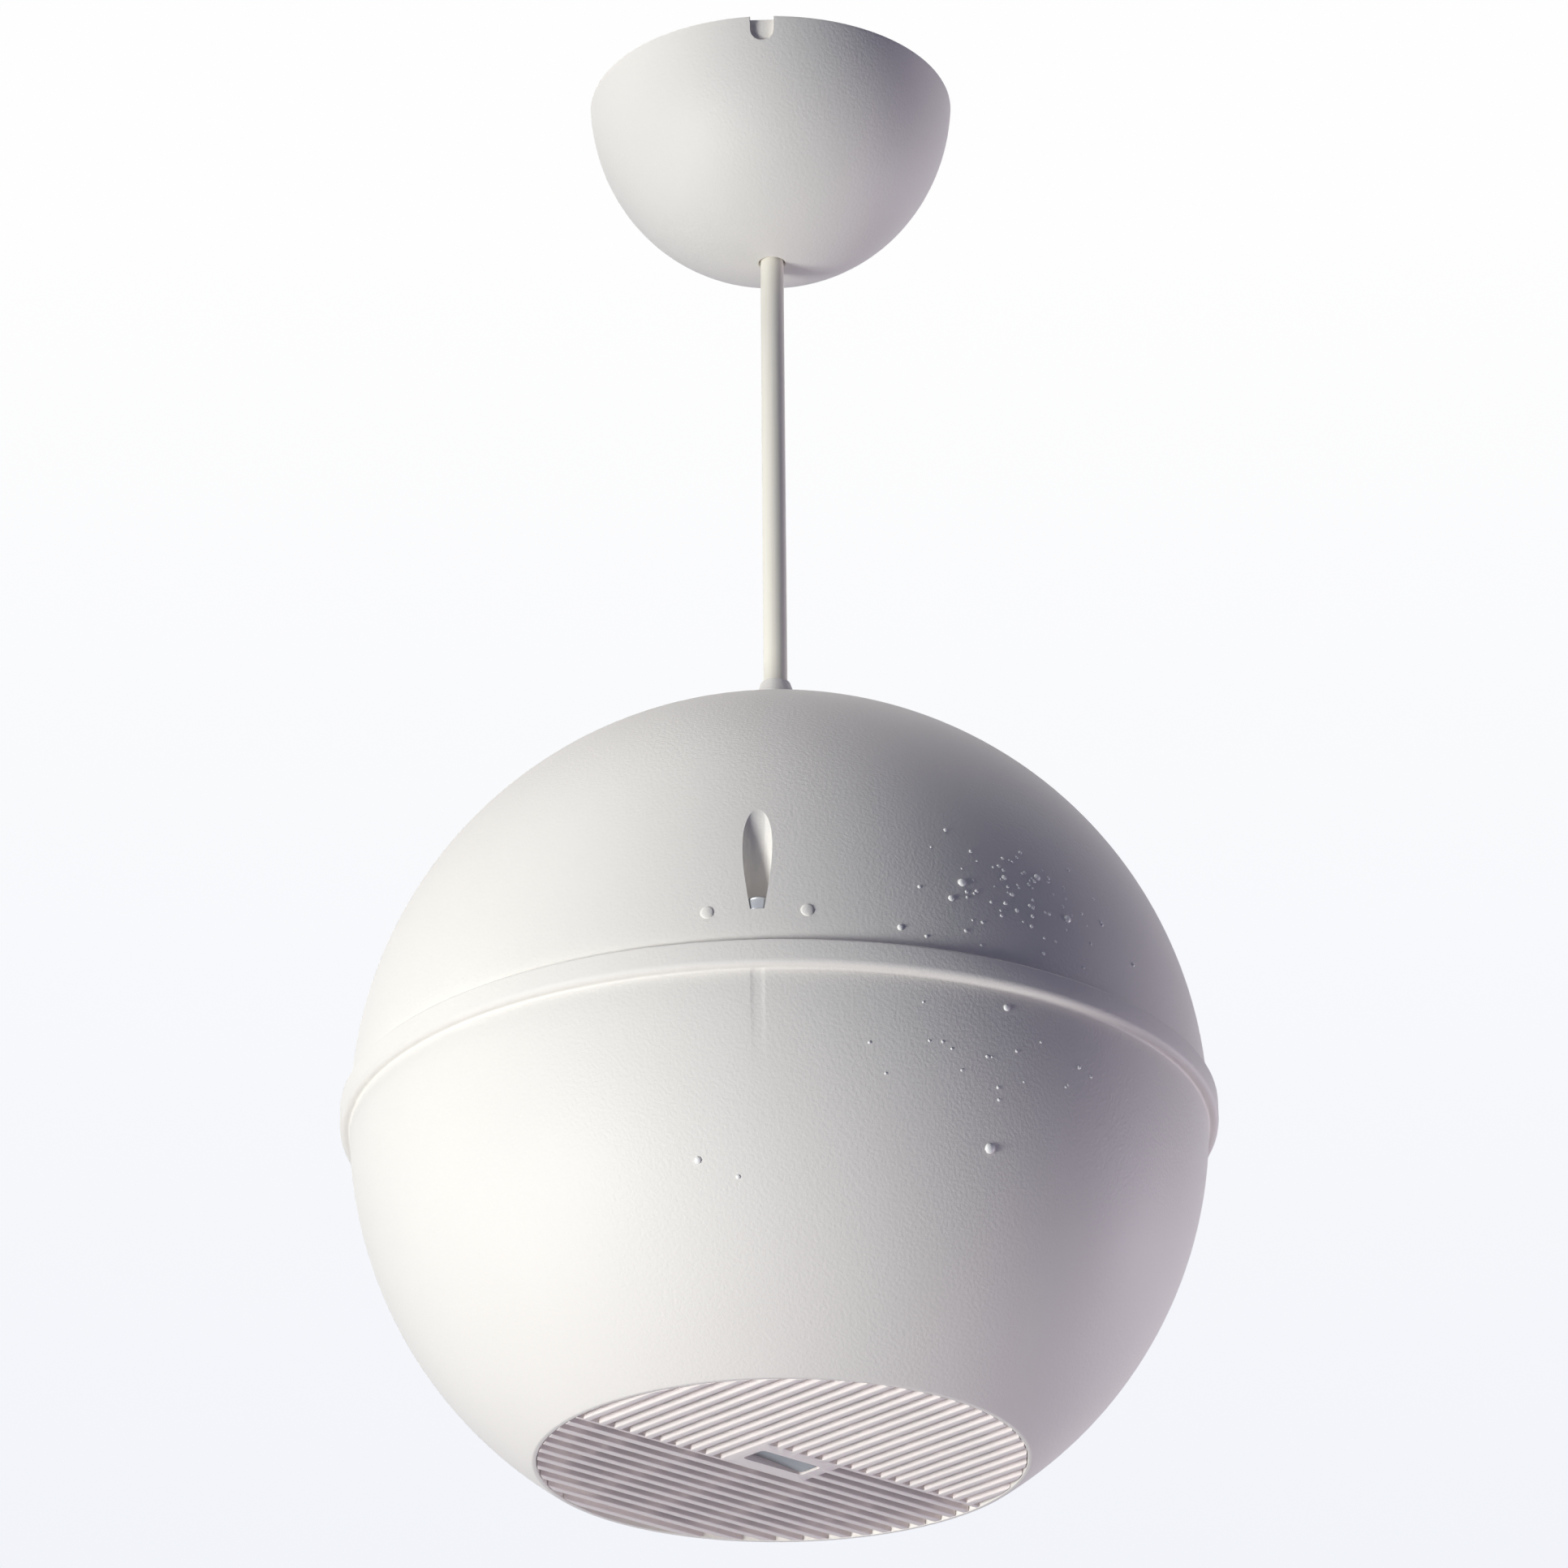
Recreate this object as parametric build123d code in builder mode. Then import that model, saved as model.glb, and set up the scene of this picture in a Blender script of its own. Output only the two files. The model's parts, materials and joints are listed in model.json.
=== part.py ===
from build123d import *
import os
from math import degrees, sqrt

os.makedirs("parts", exist_ok=True)

# A ball-shaped pendant speaker that hangs on its own supply cord from a ceiling cup.
# Millimetres, +Z up. The origin is on the axis in the ceiling plane, where the rim of
# the cup and the bracket lie. The cup's notch and the first screw well face -Y.

# Running and seating gaps
close_fit = 0.05
screw_fit = 0.05
seat_fit = 0.1
lining_fit = 0.3
pilot_spare = 0.5
cut_over = 1.0

# Cord
cord_radius = 2.65
cord_drop = 118.6
cord_start = 3.2
cord_tail = 4.5

# Ceiling cup
cup_depth = 40.6
cup_wall = 2.2
cup_lean = 1.5
cup_fullness = 0.56
cup_hole_gap = 0.3
cup_strap_gap = 5.45
notch_width = 5.3
notch_depth = 5.9
cup_boss_wall = 2.25
cup_boss_height = 8.4
grommet_wall = 3.0
grommet_sunk = 1.0

# Ceiling bracket
steel_thickness = 1.5
strap_end = 1.75
strap_width = 24.0
strap_corner = 4.0
slot_spacing = 56.0
slot_width = 4.5
slot_length = 8.5
tongue_width = 16.0
tongue_drop = 13.0
bend_radius = 1.4
saddle_height = 9.0
saddle_back = 2.8
saddle_end_gap = 0.5
saddle_corner = 2.0
saddle_screw_past = 1.0
saddle_screw_spacing = 11.0
small_screw_radius = 1.5
small_head_radius = 2.4
small_head_height = 2.0
block_length = 10.5
block_end_wall = 1.5
block_cover = 3.5
block_corner = 1.0
block_from_window = 0.6
insert_side = 5.0
insert_gap = 0.3
insert_spacing = 14.0
insert_sunk = 0.5
driver_room = 0.6
terminal_screw_out = 2.0
core_rise = 1.9
core_bend = 1.0
core_gap = 1.7
core_tail = 1.5

# Ball
shell_radius = 92.0
shell_wall = 3.0
centre_gap = 2.4
face_radius = 52.4
seam_height = 1.9
seam_gap = 0.3
band_proud = 2.1
band_drop = 5.6
band_top_round = 0.6
band_low_round = 1.3
spigot_wall = 2.2
spigot_height = 4.0
spigot_root = 4.0
seal_width = 1.4
seal_sunk = 1.2
seal_inset = 0.3
pole_flat_rim = 0.4
pad_rim = 5.0
pad_drop = 2.5

# Screws that join the half balls
well_count = 3
well_radius = 3.05
well_inset = 3.5
well_floor = 8.4
well_wall = 2.0
shell_screw_radius = 1.5
shell_head_radius = 2.7
shell_head_height = 3.0
shell_screw_length = 20.0
pip_radius = 1.4
pip_proud = 0.45
pip_bevel = 0.3
pip_spacing = 20.4
pip_height = 8.0

# Cord gland
gland_tip_height = 11.7
gland_tip_wall = 0.55
gland_cone_inset = 2.0
gland_flange_lip = 3.6
gland_flange_height = 2.2
gland_shank_wall = 2.3
gland_shank_past_nut = 2.0
nut_wall = 3.0
nut_height = 4.0
stop_wall = 2.9
stop_height = 10.0
grub_radius = 1.5

# Grille
grille_thickness = 3.25
lip_land = 0.9
lip_gap = 0.2
rib_pitch = 4.2
rib_width = 1.8
groove_depth = 1.6
block_side_border = 3.6
block_end_border = 3.3
cross_bar_width = 2.0
cross_bar_ribs = 4
grille_rim_wall = 2.4
grille_rim_height = 1.8
post_radius = 2.4
post_count = 4
post_pilot_depth = 5.0
cloth_thickness = 0.5
cloth_lap = 1.5
cloth_post_gap = 0.35
badge_length = 15.4
badge_width = 5.2
badge_thickness = 0.8
badge_sunk = 0.8
badge_gap = 0.3
badge_corner = 0.6

# Baffle inside the lower half
baffle_height = 7.2
baffle_thickness = 3.0
baffle_hole_margin = 1.0
baffle_screw_radius = 1.3
baffle_head_radius = 2.3
baffle_head_height = 1.8

# Loudspeaker driver
gasket_thickness = 1.0
gasket_inset = 0.2
flange_screw_gap = 0.45
flange_width = 6.5
flange_thickness = 1.2
driver_screw_inset = 2.6
driver_screw_count = 4
driver_screw_radius = 1.25
driver_head_radius = 2.1
driver_head_height = 1.6
basket_wall = 1.2
basket_depth = 22.0
basket_base_radius = 27.0
spider_ledge = 5.0
spider_ledge_width = 4.0
window_width = 24.0
window_low = 4.5
window_ledge_gap = 1.5
pole_radius = 9.0
coil_gap = 0.3
coil_wall = 0.6
top_plate_radius = 26.0
top_plate_thickness = 4.0
magnet_radius = 30.0
magnet_bore = 14.0
magnet_height = 12.0
yoke_radius = 26.0
yoke_thickness = 4.0
neck_spider_room = 5.0
coil_back = 6.0
cone_wall = 0.5
neck_back = 3.0
glue_width = 2.0
roll_width = 6.0
spider_thickness = 0.5
spider_rings = 3
spider_inset = 1.0
spider_ring_height = 0.8
surround_wall = 0.6
surround_foot = 0.9
cap_rise = 4.0
shelf_length = 16.0
shelf_reach = 8.0
shelf_depth = 8.0
board_thickness = 1.5
board_width = 6.0
board_inset = 0.5
tag_width = 2.5
tag_thickness = 0.8
tag_height = 6.0
tag_spacing = 8.0

# Chassis bar and transformer in the upper half
bar_drop = 40.0
bar_end = 6.0
bar_width = 16.0
bar_post_radius = 4.5
bar_post_spacing = 80.0
bar_screw_grip = 9.0
bar_corner = 3.0
core_length = 42.0
core_height = 35.0
core_depth = 15.0
core_leg = 7.0
coil_side = 6.0
winding_corner = 2.0
clamp_thickness = 1.2
clamp_foot = 9.0
tap_length = 15.0
tap_width = 16.0
tap_height = 10.0
tap_inset = 5.2
lead_radius = 0.8
supply_lead_spacing = 2.6
lead_bend = 4.0
lead_inset = 2.0
felt_thickness = 5.0
felt_well_gap = 7.0
felt_post_gap = 6.0

# Sizes that follow
strap_length = slot_spacing + slot_length + 2 * strap_end
cup_radius = strap_length / 2 + cup_strap_gap + cup_wall
grommet_radius = cord_radius + close_fit + grommet_wall
cup_boss_radius = grommet_radius + close_fit + cup_boss_wall
block_width = insert_spacing + insert_side + 2 * block_end_wall
block_height = insert_side + 2 * block_cover
gland_tip_radius = cord_radius + close_fit + gland_tip_wall
gland_shank_radius = cord_radius + close_fit + gland_shank_wall
gland_flange_radius = gland_shank_radius + gland_flange_lip
pole_flat_radius = gland_flange_radius + pole_flat_rim
nut_across = 2 * (gland_shank_radius + nut_wall)
pad_radius = nut_across / 2 + pad_rim
stop_radius = cord_radius + close_fit + stop_wall
inner_radius = shell_radius - shell_wall
well_from_axis = shell_radius - well_inset
well_boss_radius = well_radius + well_wall
well_reach = sqrt(inner_radius**2 - (well_from_axis - well_boss_radius)**2) + cut_over
bar_length = bar_post_spacing + 2 * bar_end

# Heights that follow
pole_height = shell_radius + centre_gap / 2
face_depth = sqrt(shell_radius**2 - face_radius**2) + centre_gap / 2
middle_z = -(cup_depth + cord_drop + pole_height)
upper_z = middle_z + centre_gap / 2
lower_z = middle_z - centre_gap / 2
face_z = middle_z - face_depth
seam_z = middle_z + seam_height
upper_rim_z = seam_z + seam_gap
grille_back_z = face_z + grille_thickness
flat_z = upper_z + sqrt(shell_radius**2 - pole_flat_radius**2)
pad_z = upper_z + inner_radius - pad_drop
baffle_low_z = face_z + baffle_height
baffle_top_z = baffle_low_z + baffle_thickness
driver_z = baffle_top_z + gasket_thickness
bar_top_z = upper_z + shell_radius - bar_drop
bar_low_z = bar_top_z - steel_thickness

# Positions shared by several pieces
well_spots = PolarLocations(well_from_axis, well_count, start_angle=-90).locations
driver_plane = Plane(origin=(0, 0, driver_z), x_dir=(1, 0, 0), z_dir=(0, -1, 0))
rib_plane = Plane(origin=(0, 0, face_z), x_dir=(1, 1, 0), z_dir=(0, 0, 1))


def tube(outer, inner, bottom, top, mode=Mode.ADD):
    # Upright cylinder or ring on the axis, added to the part being built
    with BuildSketch(Plane.XY.offset(bottom)) as section:
        Circle(outer)
        if inner > 0:
            Circle(inner, mode=Mode.SUBTRACT)
    extrude(section.sketch, amount=top - bottom, mode=mode)


def rods(radius, spots, bottom, top, mode=Mode.ADD):
    # Upright cylinders at the given plan positions
    with BuildSketch(Plane.XY.offset(bottom)) as section:
        with Locations(*[(spot.X, spot.Y) for spot in spots]):
            Circle(radius)
    extrude(section.sketch, amount=top - bottom, mode=mode)


def screw(shank_radius, shank_length, head_radius, head_height):
    # Cheese-head screw, head above z = 0 and shank below it, with a straight slot
    slot_cut = head_height / 2
    with BuildPart() as made:
        with BuildSketch(Plane.XY):
            Circle(head_radius)
        extrude(amount=head_height)
        with BuildSketch(Plane.XY):
            Circle(shank_radius)
        extrude(amount=-shank_length)
        with BuildSketch(Plane.XY.offset(head_height)):
            Rectangle(head_radius * 3, head_radius / 3)
        extrude(amount=-slot_cut, mode=Mode.SUBTRACT)
    return made.part


def lead(points, bend):
    # One round lead along straight runs joined by arcs
    start = Vector(*points[0])
    toward = Vector(*points[1]) - start
    with BuildPart() as made:
        with BuildLine() as route:
            FilletPolyline(*points, radius=bend)
        with BuildSketch(Plane(origin=start, z_dir=toward)):
            Circle(lead_radius)
        sweep(path=route.wire())
    return made.part


def quarter_dome(radius, pole):
    # Near a quarter ellipse, from a rim that leans in to a level pole on the axis, as one curve
    Bezier((radius, 0), (radius - cup_lean, cup_fullness * pole), (cup_fullness * radius, pole),
           (0, pole))


def plan_points(locations):
    # Centres of a set of locations
    return [location.position for location in locations]


# Ceiling cup: one moulding, an elliptical dome with a notch for a surface cable in its rim
# and a socket for the grommet at its pole
cup_floor_z = -cup_depth + cup_wall
with BuildPart() as ceiling_cup:
    with BuildSketch(Plane.XZ):
        with BuildLine():
            quarter_dome(cup_radius, -cup_depth)
            quarter_dome(cup_radius - cup_wall, cup_floor_z)
            Line((cup_radius, 0), (cup_radius - cup_wall, 0))
            Line((0, -cup_depth), (0, cup_floor_z))
        make_face()
        with Locations((0, cup_floor_z)):
            Rectangle(cup_boss_radius, cup_boss_height, align=(Align.MIN, Align.MIN))
            Rectangle(grommet_radius + close_fit, cup_boss_height + cut_over,
                      align=(Align.MIN, Align.MIN), mode=Mode.SUBTRACT)
            Rectangle(cord_radius + cup_hole_gap, 2 * (cup_wall + cut_over),
                      align=(Align.MIN, Align.CENTER), mode=Mode.SUBTRACT)
    revolve(axis=Axis.Z)
    with BuildSketch(Plane.XZ.offset(cup_radius + cut_over)):
        with Locations((0, notch_width / 2 - notch_depth)):
            Circle(notch_width / 2)
        Rectangle(notch_width, notch_depth - notch_width / 2, align=(Align.CENTER, Align.MAX))
    extrude(amount=-(cup_wall + 2 * cut_over), mode=Mode.SUBTRACT)

# Rubber grommet whose grip on the cord holds the cup up against the ceiling
with BuildPart() as cup_grommet:
    tube(grommet_radius, cord_radius + close_fit, cup_floor_z,
         cup_floor_z + cup_boss_height - grommet_sunk)

# Ceiling bracket: a stamped strap with two screw slots and a tongue folded down
tongue_x = cord_radius + close_fit
with BuildPart() as ceiling_bracket:
    with BuildSketch(Plane.XY) as strap:
        Rectangle(strap_length, strap_width)
        fillet(strap.vertices(), strap_corner)
        with GridLocations(slot_spacing, 0, 2, 1):
            SlotOverall(slot_length, slot_width, mode=Mode.SUBTRACT)
        with Locations((tongue_x, 0)):
            Rectangle(tongue_drop, tongue_width, align=(Align.MAX, Align.CENTER), mode=Mode.SUBTRACT)
    extrude(amount=-steel_thickness)
    with BuildSketch(Plane.XZ):
        with Locations((tongue_x, 0)):
            Rectangle(steel_thickness, steel_thickness + tongue_drop, align=(Align.MIN, Align.MAX))
    extrude(amount=tongue_width / 2, both=True)
    bend_edges = ceiling_bracket.edges().filter_by(Axis.Y).filter_by_position(
        Axis.Z, -0.01, 0.01).filter_by_position(Axis.X, tongue_x - 0.01, tongue_x + 0.01)
    fillet(bend_edges, bend_radius)
    saddle_mid_z = -(steel_thickness + tongue_drop) + saddle_height / 2 + saddle_end_gap
    with BuildSketch(Plane.YZ.offset(tongue_x + steel_thickness)):
        with Locations((0, saddle_mid_z)):
            with GridLocations(saddle_screw_spacing, 0, 2, 1):
                Circle(small_screw_radius + screw_fit)
    extrude(amount=-steel_thickness, mode=Mode.SUBTRACT)
    block_x = tongue_x - tongue_drop - block_from_window - block_length / 2
    with BuildSketch(Plane.XY):
        with Locations((block_x, 0)):
            Circle(small_screw_radius + screw_fit)
    extrude(amount=-steel_thickness, mode=Mode.SUBTRACT)

# Saddle that clamps the cord to the tongue
saddle_x = -(cord_radius + close_fit + saddle_back)
with BuildPart() as cord_saddle:
    with BuildSketch(Plane.XY.offset(saddle_mid_z - saddle_height / 2)) as saddle_plan:
        with Locations((saddle_x, 0)):
            Rectangle(tongue_x - saddle_x, tongue_width, align=(Align.MIN, Align.CENTER))
        fillet(saddle_plan.vertices().group_by(Axis.X)[0], saddle_corner)
        Circle(cord_radius + close_fit, mode=Mode.SUBTRACT)
        Rectangle(tongue_x, 2 * (cord_radius + close_fit), align=(Align.MIN, Align.CENTER),
                  mode=Mode.SUBTRACT)
    extrude(amount=saddle_height)
    with BuildSketch(Plane.YZ.offset(saddle_x)):
        with Locations((0, saddle_mid_z)):
            with GridLocations(saddle_screw_spacing, 0, 2, 1):
                Circle(small_screw_radius + screw_fit)
    extrude(amount=tongue_x - saddle_x, mode=Mode.SUBTRACT)

saddle_screw = screw(small_screw_radius, tongue_x + steel_thickness - saddle_x + saddle_screw_past,
                     small_head_radius, small_head_height)
with BuildPart() as saddle_screws:
    saddle_screw_plane = Plane(origin=(saddle_x, 0, saddle_mid_z), x_dir=(0, 1, 0), z_dir=(-1, 0, 0))
    with Locations(saddle_screw_plane):
        with GridLocations(saddle_screw_spacing, 0, 2, 1):
            add(saddle_screw)

# Terminal block under the strap, where the building's wires meet the cord
block_top_z = -steel_thickness
insert_z = block_top_z - block_height / 2
with BuildPart() as terminal_block:
    with BuildSketch(Plane.XY.offset(block_top_z)) as block_plan:
        with Locations((block_x, 0)):
            Rectangle(block_length, block_width)
        fillet(block_plan.vertices(), block_corner)
    extrude(amount=-block_height)
    with BuildSketch(Plane.YZ.offset(block_x - block_length / 2)):
        with Locations((0, insert_z)):
            with GridLocations(insert_spacing, 0, 2, 1):
                Rectangle(insert_side + seat_fit, insert_side + seat_fit)
    extrude(amount=block_length, mode=Mode.SUBTRACT)
    with BuildSketch(Plane.XY.offset(block_top_z - block_height)):
        with Locations((block_x, 0)):
            with GridLocations(0, insert_spacing, 1, 2):
                Circle(small_screw_radius + driver_room)
    extrude(amount=block_height / 2, mode=Mode.SUBTRACT)
    with BuildSketch(Plane.XY.offset(block_top_z - block_height)):
        with Locations((block_x, 0)):
            Circle(small_screw_radius + screw_fit)
    extrude(amount=block_height, mode=Mode.SUBTRACT)

with BuildPart() as terminal_inserts:
    with BuildSketch(Plane.YZ.offset(block_x - block_length / 2 + insert_sunk)):
        with Locations((0, insert_z)):
            with GridLocations(insert_spacing, 0, 2, 1):
                Rectangle(insert_side, insert_side)
                Circle(lead_radius + insert_gap, mode=Mode.SUBTRACT)
    extrude(amount=block_length - 2 * insert_sunk)
    with BuildSketch(Plane.XY.offset(insert_z - insert_side / 2)):
        with Locations((block_x, 0)):
            with GridLocations(0, insert_spacing, 1, 2):
                Circle(small_screw_radius + screw_fit)
    extrude(amount=insert_side / 2, mode=Mode.SUBTRACT)

with BuildPart() as terminal_screws:
    with BuildSketch(Plane.XY.offset(insert_z - insert_side / 2 - terminal_screw_out)):
        with Locations((block_x, 0)):
            with GridLocations(0, insert_spacing, 1, 2):
                Circle(small_screw_radius)
    extrude(amount=terminal_screw_out + insert_side / 2)

block_screw_part = screw(small_screw_radius, block_height + steel_thickness,
                         small_head_radius, small_head_height)
with BuildPart() as block_screw:
    with Locations(Plane(origin=(block_x, 0, block_top_z - block_height), z_dir=(0, 0, -1))):
        add(block_screw_part)

# Cord: one straight run from the bracket to just below its stop in the ball
shank_end_z = pad_z - nut_height - gland_shank_past_nut
stop_end_z = shank_end_z - stop_height
cord_top_z = -cord_start
cord_end_z = stop_end_z - cord_tail
with BuildPart() as cord:
    tube(cord_radius, 0, cord_end_z, cord_top_z)

# Two cores of the cord, led over the saddle from its cut end into the brass inserts
core_spread = supply_lead_spacing / 2
core_z = cord_top_z + core_rise
core_turn_x = block_x + block_length / 2 + core_gap
core_end_x = core_turn_x - core_gap - core_tail
ceiling_lead_parts = [
    lead([(0, side * core_spread, cord_top_z),
          (0, side * core_spread, core_z),
          (core_turn_x, side * insert_spacing / 2, core_z),
          (core_turn_x, side * insert_spacing / 2, insert_z),
          (core_end_x, side * insert_spacing / 2, insert_z)], core_bend)
    for side in (-1, 1)]
with BuildPart() as ceiling_leads:
    add(ceiling_lead_parts)

# Gland that leads the cord through the pole of the ball
gland_top_z = upper_z + shell_radius + gland_tip_height
with BuildPart() as cord_gland:
    with BuildSketch(Plane.XZ):
        with BuildLine():
            Polyline(
                (cord_radius + close_fit, shank_end_z),
                (gland_shank_radius, shank_end_z),
                (gland_shank_radius, flat_z),
                (gland_flange_radius, flat_z),
                (gland_flange_radius, flat_z + gland_flange_height),
                (gland_flange_radius - gland_cone_inset, flat_z + gland_flange_height),
                (gland_tip_radius, gland_top_z),
                (cord_radius + close_fit, gland_top_z),
                close=True)
        make_face()
    revolve(axis=Axis.Z)

with BuildPart() as gland_nut:
    with BuildSketch(Plane.XY.offset(pad_z)):
        RegularPolygon(nut_across / 2, 6, major_radius=False)
        Circle(gland_shank_radius + screw_fit, mode=Mode.SUBTRACT)
    extrude(amount=-nut_height)

# Metal stop clamped on the cord, which carries the ball's weight on the gland's end
grub_heights = [stop_end_z + stop_height * share for share in (0.3, 0.7)]
with BuildPart() as cord_stop:
    tube(stop_radius, cord_radius + close_fit, stop_end_z, shank_end_z)
    with BuildSketch(Plane.YZ.offset(cord_radius)):
        with Locations(*[(0, height) for height in grub_heights]):
            Circle(grub_radius + screw_fit)
    extrude(amount=stop_radius, mode=Mode.SUBTRACT)

with BuildPart() as stop_screws:
    with BuildSketch(Plane.YZ.offset(cord_radius + close_fit)):
        with Locations(*[(0, height) for height in grub_heights]):
            Circle(grub_radius)
    extrude(amount=stop_radius - cord_radius - close_fit)

# Space inside the upper half: the inner ball less the screw bosses, the two posts for
# the chassis bar and the pad under the gland
bar_posts = GridLocations(bar_post_spacing, 0, 2, 1).locations
with BuildPart() as upper_space:
    with BuildSketch(Plane.XZ):
        with Locations((0, upper_z)):
            Circle(inner_radius)
        with Locations((0, upper_rim_z)):
            Rectangle(inner_radius, inner_radius, align=(Align.MIN, Align.MIN), mode=Mode.INTERSECT)
    revolve(axis=Axis.Z)
    rods(well_boss_radius, plan_points(well_spots), upper_rim_z, upper_z + well_reach,
         Mode.SUBTRACT)
    rods(bar_post_radius, plan_points(bar_posts), bar_top_z, upper_z + shell_radius, Mode.SUBTRACT)
    tube(pad_radius, 0, pad_z, upper_z + shell_radius, Mode.SUBTRACT)

# Small raised pip, made where it stands on the ball's outline at +X
pip_from_axis = sqrt(shell_radius**2 - pip_height**2)
pip_turn = degrees(pip_spacing / 2 / pip_from_axis)
with BuildPart() as pip:
    pip_root = Vector(pip_from_axis, 0, pip_height) * (1 - shell_wall / 2 / shell_radius)
    with BuildSketch(Plane(origin=pip_root, z_dir=pip_root)):
        Circle(pip_radius)
    extrude(amount=shell_wall / 2 + pip_proud)
    chamfer(pip.faces().sort_by(Axis.X)[-1].edges(), pip_bevel)

# Upper half ball with its three screw wells
with BuildPart() as upper_shell:
    with BuildSketch(Plane.XZ):
        with Locations((0, upper_z)):
            Circle(shell_radius)
        with Locations((0, upper_rim_z)):
            Rectangle(shell_radius, flat_z - upper_rim_z, align=(Align.MIN, Align.MIN),
                      mode=Mode.INTERSECT)
    revolve(axis=Axis.Z)
    with Locations((0, 0, upper_z)):
        for turn in (-pip_turn, pip_turn):
            with PolarLocations(0, well_count, start_angle=turn - 90):
                add(pip.part)
    add(upper_space.part, mode=Mode.SUBTRACT)
    rods(well_radius, plan_points(well_spots), upper_z + well_floor, upper_z + shell_radius,
         Mode.SUBTRACT)
    rods(shell_screw_radius + screw_fit, plan_points(well_spots), upper_rim_z - cut_over,
         upper_z + well_floor, Mode.SUBTRACT)
    rods(driver_screw_radius + screw_fit, plan_points(bar_posts), bar_top_z,
         bar_top_z + bar_screw_grip + pilot_spare, Mode.SUBTRACT)
    tube(gland_shank_radius + seat_fit, 0, pad_z - cut_over, flat_z + cut_over, Mode.SUBTRACT)

# Screws of the grille and the driver, with the driver's flange between the grille's posts
opening_radius = face_radius - lip_land
grille_radius = opening_radius - lip_gap
grille_screw_from_axis = grille_radius - post_radius
grille_screw_spots = PolarLocations(grille_screw_from_axis, post_count).locations
flange_radius = grille_screw_from_axis - baffle_head_radius - flange_screw_gap
baffle_hole_radius = flange_radius - flange_width + baffle_hole_margin
driver_screw_spots = PolarLocations(flange_radius - driver_screw_inset, driver_screw_count,
                                    start_angle=45).locations

# Space inside the lower half: the inner ball with a straight opening for the grille, less
# the screw bosses, the spigot and the baffle plate that carries the driver
spigot_outer = sqrt(inner_radius**2 - (spigot_height + centre_gap)**2) - seat_fit
spigot_inner = spigot_outer - spigot_wall
with BuildPart() as lower_space:
    with BuildSketch(Plane.XZ):
        with Locations((0, lower_z)):
            Circle(inner_radius)
        with Locations((0, face_z)):
            Rectangle(inner_radius, lower_z - face_z, align=(Align.MIN, Align.MIN),
                      mode=Mode.INTERSECT)
        with Locations((0, face_z - cut_over)):
            Rectangle(opening_radius, baffle_height + cut_over, align=(Align.MIN, Align.MIN))
        with Locations((0, lower_z)):
            Rectangle(inner_radius, seam_z - spigot_root - lower_z, align=(Align.MIN, Align.MIN))
        with Locations((0, seam_z - spigot_root)):
            Rectangle(spigot_inner, spigot_root + spigot_height, align=(Align.MIN, Align.MIN))
        with Locations((baffle_hole_radius, baffle_low_z)):
            Rectangle(inner_radius, baffle_thickness, align=(Align.MIN, Align.MIN),
                      mode=Mode.SUBTRACT)
    revolve(axis=Axis.Z)
    rods(well_boss_radius, plan_points(well_spots), lower_z - well_reach, seam_z,
         Mode.SUBTRACT)

# Lower half ball with the band round its rim
with BuildPart() as lower_shell:
    with BuildSketch(Plane.XZ):
        with Locations((0, lower_z)):
            Circle(shell_radius)
        with Locations((0, face_z)):
            Rectangle(shell_radius, lower_z - face_z, align=(Align.MIN, Align.MIN),
                      mode=Mode.INTERSECT)
        with Locations((0, lower_z)):
            Rectangle(shell_radius, seam_z - lower_z, align=(Align.MIN, Align.MIN))
        with Locations((0, seam_z)):
            Rectangle(spigot_outer, spigot_height, align=(Align.MIN, Align.MIN))
    revolve(axis=Axis.Z)
    with BuildSketch(Plane.XZ) as band:
        with Locations((spigot_outer, seam_z)):
            Rectangle(shell_radius + band_proud - spigot_outer, band_drop, align=(Align.MIN, Align.MAX))
        outer_corners = band.vertices().group_by(Axis.X)[-1].sort_by(Axis.Z)
        fillet(outer_corners[-1], band_top_round)
        low_corner = band.vertices().group_by(Axis.X)[-1].sort_by(Axis.Z)[0]
        fillet(low_corner, band_low_round)
    revolve(axis=Axis.Z)
    add(lower_space.part, mode=Mode.SUBTRACT)
    rods(well_boss_radius + lining_fit, plan_points(well_spots), seam_z,
         seam_z + spigot_height + cut_over, Mode.SUBTRACT)
    tube(shell_radius - seal_inset, shell_radius - seal_inset - seal_width, seam_z - seal_sunk,
         seam_z, Mode.SUBTRACT)
    screw_tip_z = upper_z + well_floor - shell_screw_length
    rods(shell_screw_radius + screw_fit, plan_points(well_spots), screw_tip_z - pilot_spare,
         seam_z + cut_over, Mode.SUBTRACT)
    rods(baffle_screw_radius + screw_fit, plan_points(grille_screw_spots), baffle_low_z,
         baffle_top_z, Mode.SUBTRACT)
    rods(driver_screw_radius + screw_fit, plan_points(driver_screw_spots), baffle_low_z,
         baffle_top_z, Mode.SUBTRACT)

# Rubber ring between the halves
with BuildPart() as shell_seal:
    tube(shell_radius - seal_inset, shell_radius - seal_inset - seal_width,
         seam_z - seal_sunk, upper_rim_z)

# Three screws in the wells
shell_screw = screw(shell_screw_radius, shell_screw_length, shell_head_radius, shell_head_height)
with BuildPart() as shell_screws:
    with Locations((0, 0, upper_z + well_floor)):
        with PolarLocations(well_from_axis, well_count, start_angle=-90):
            add(shell_screw)

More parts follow.
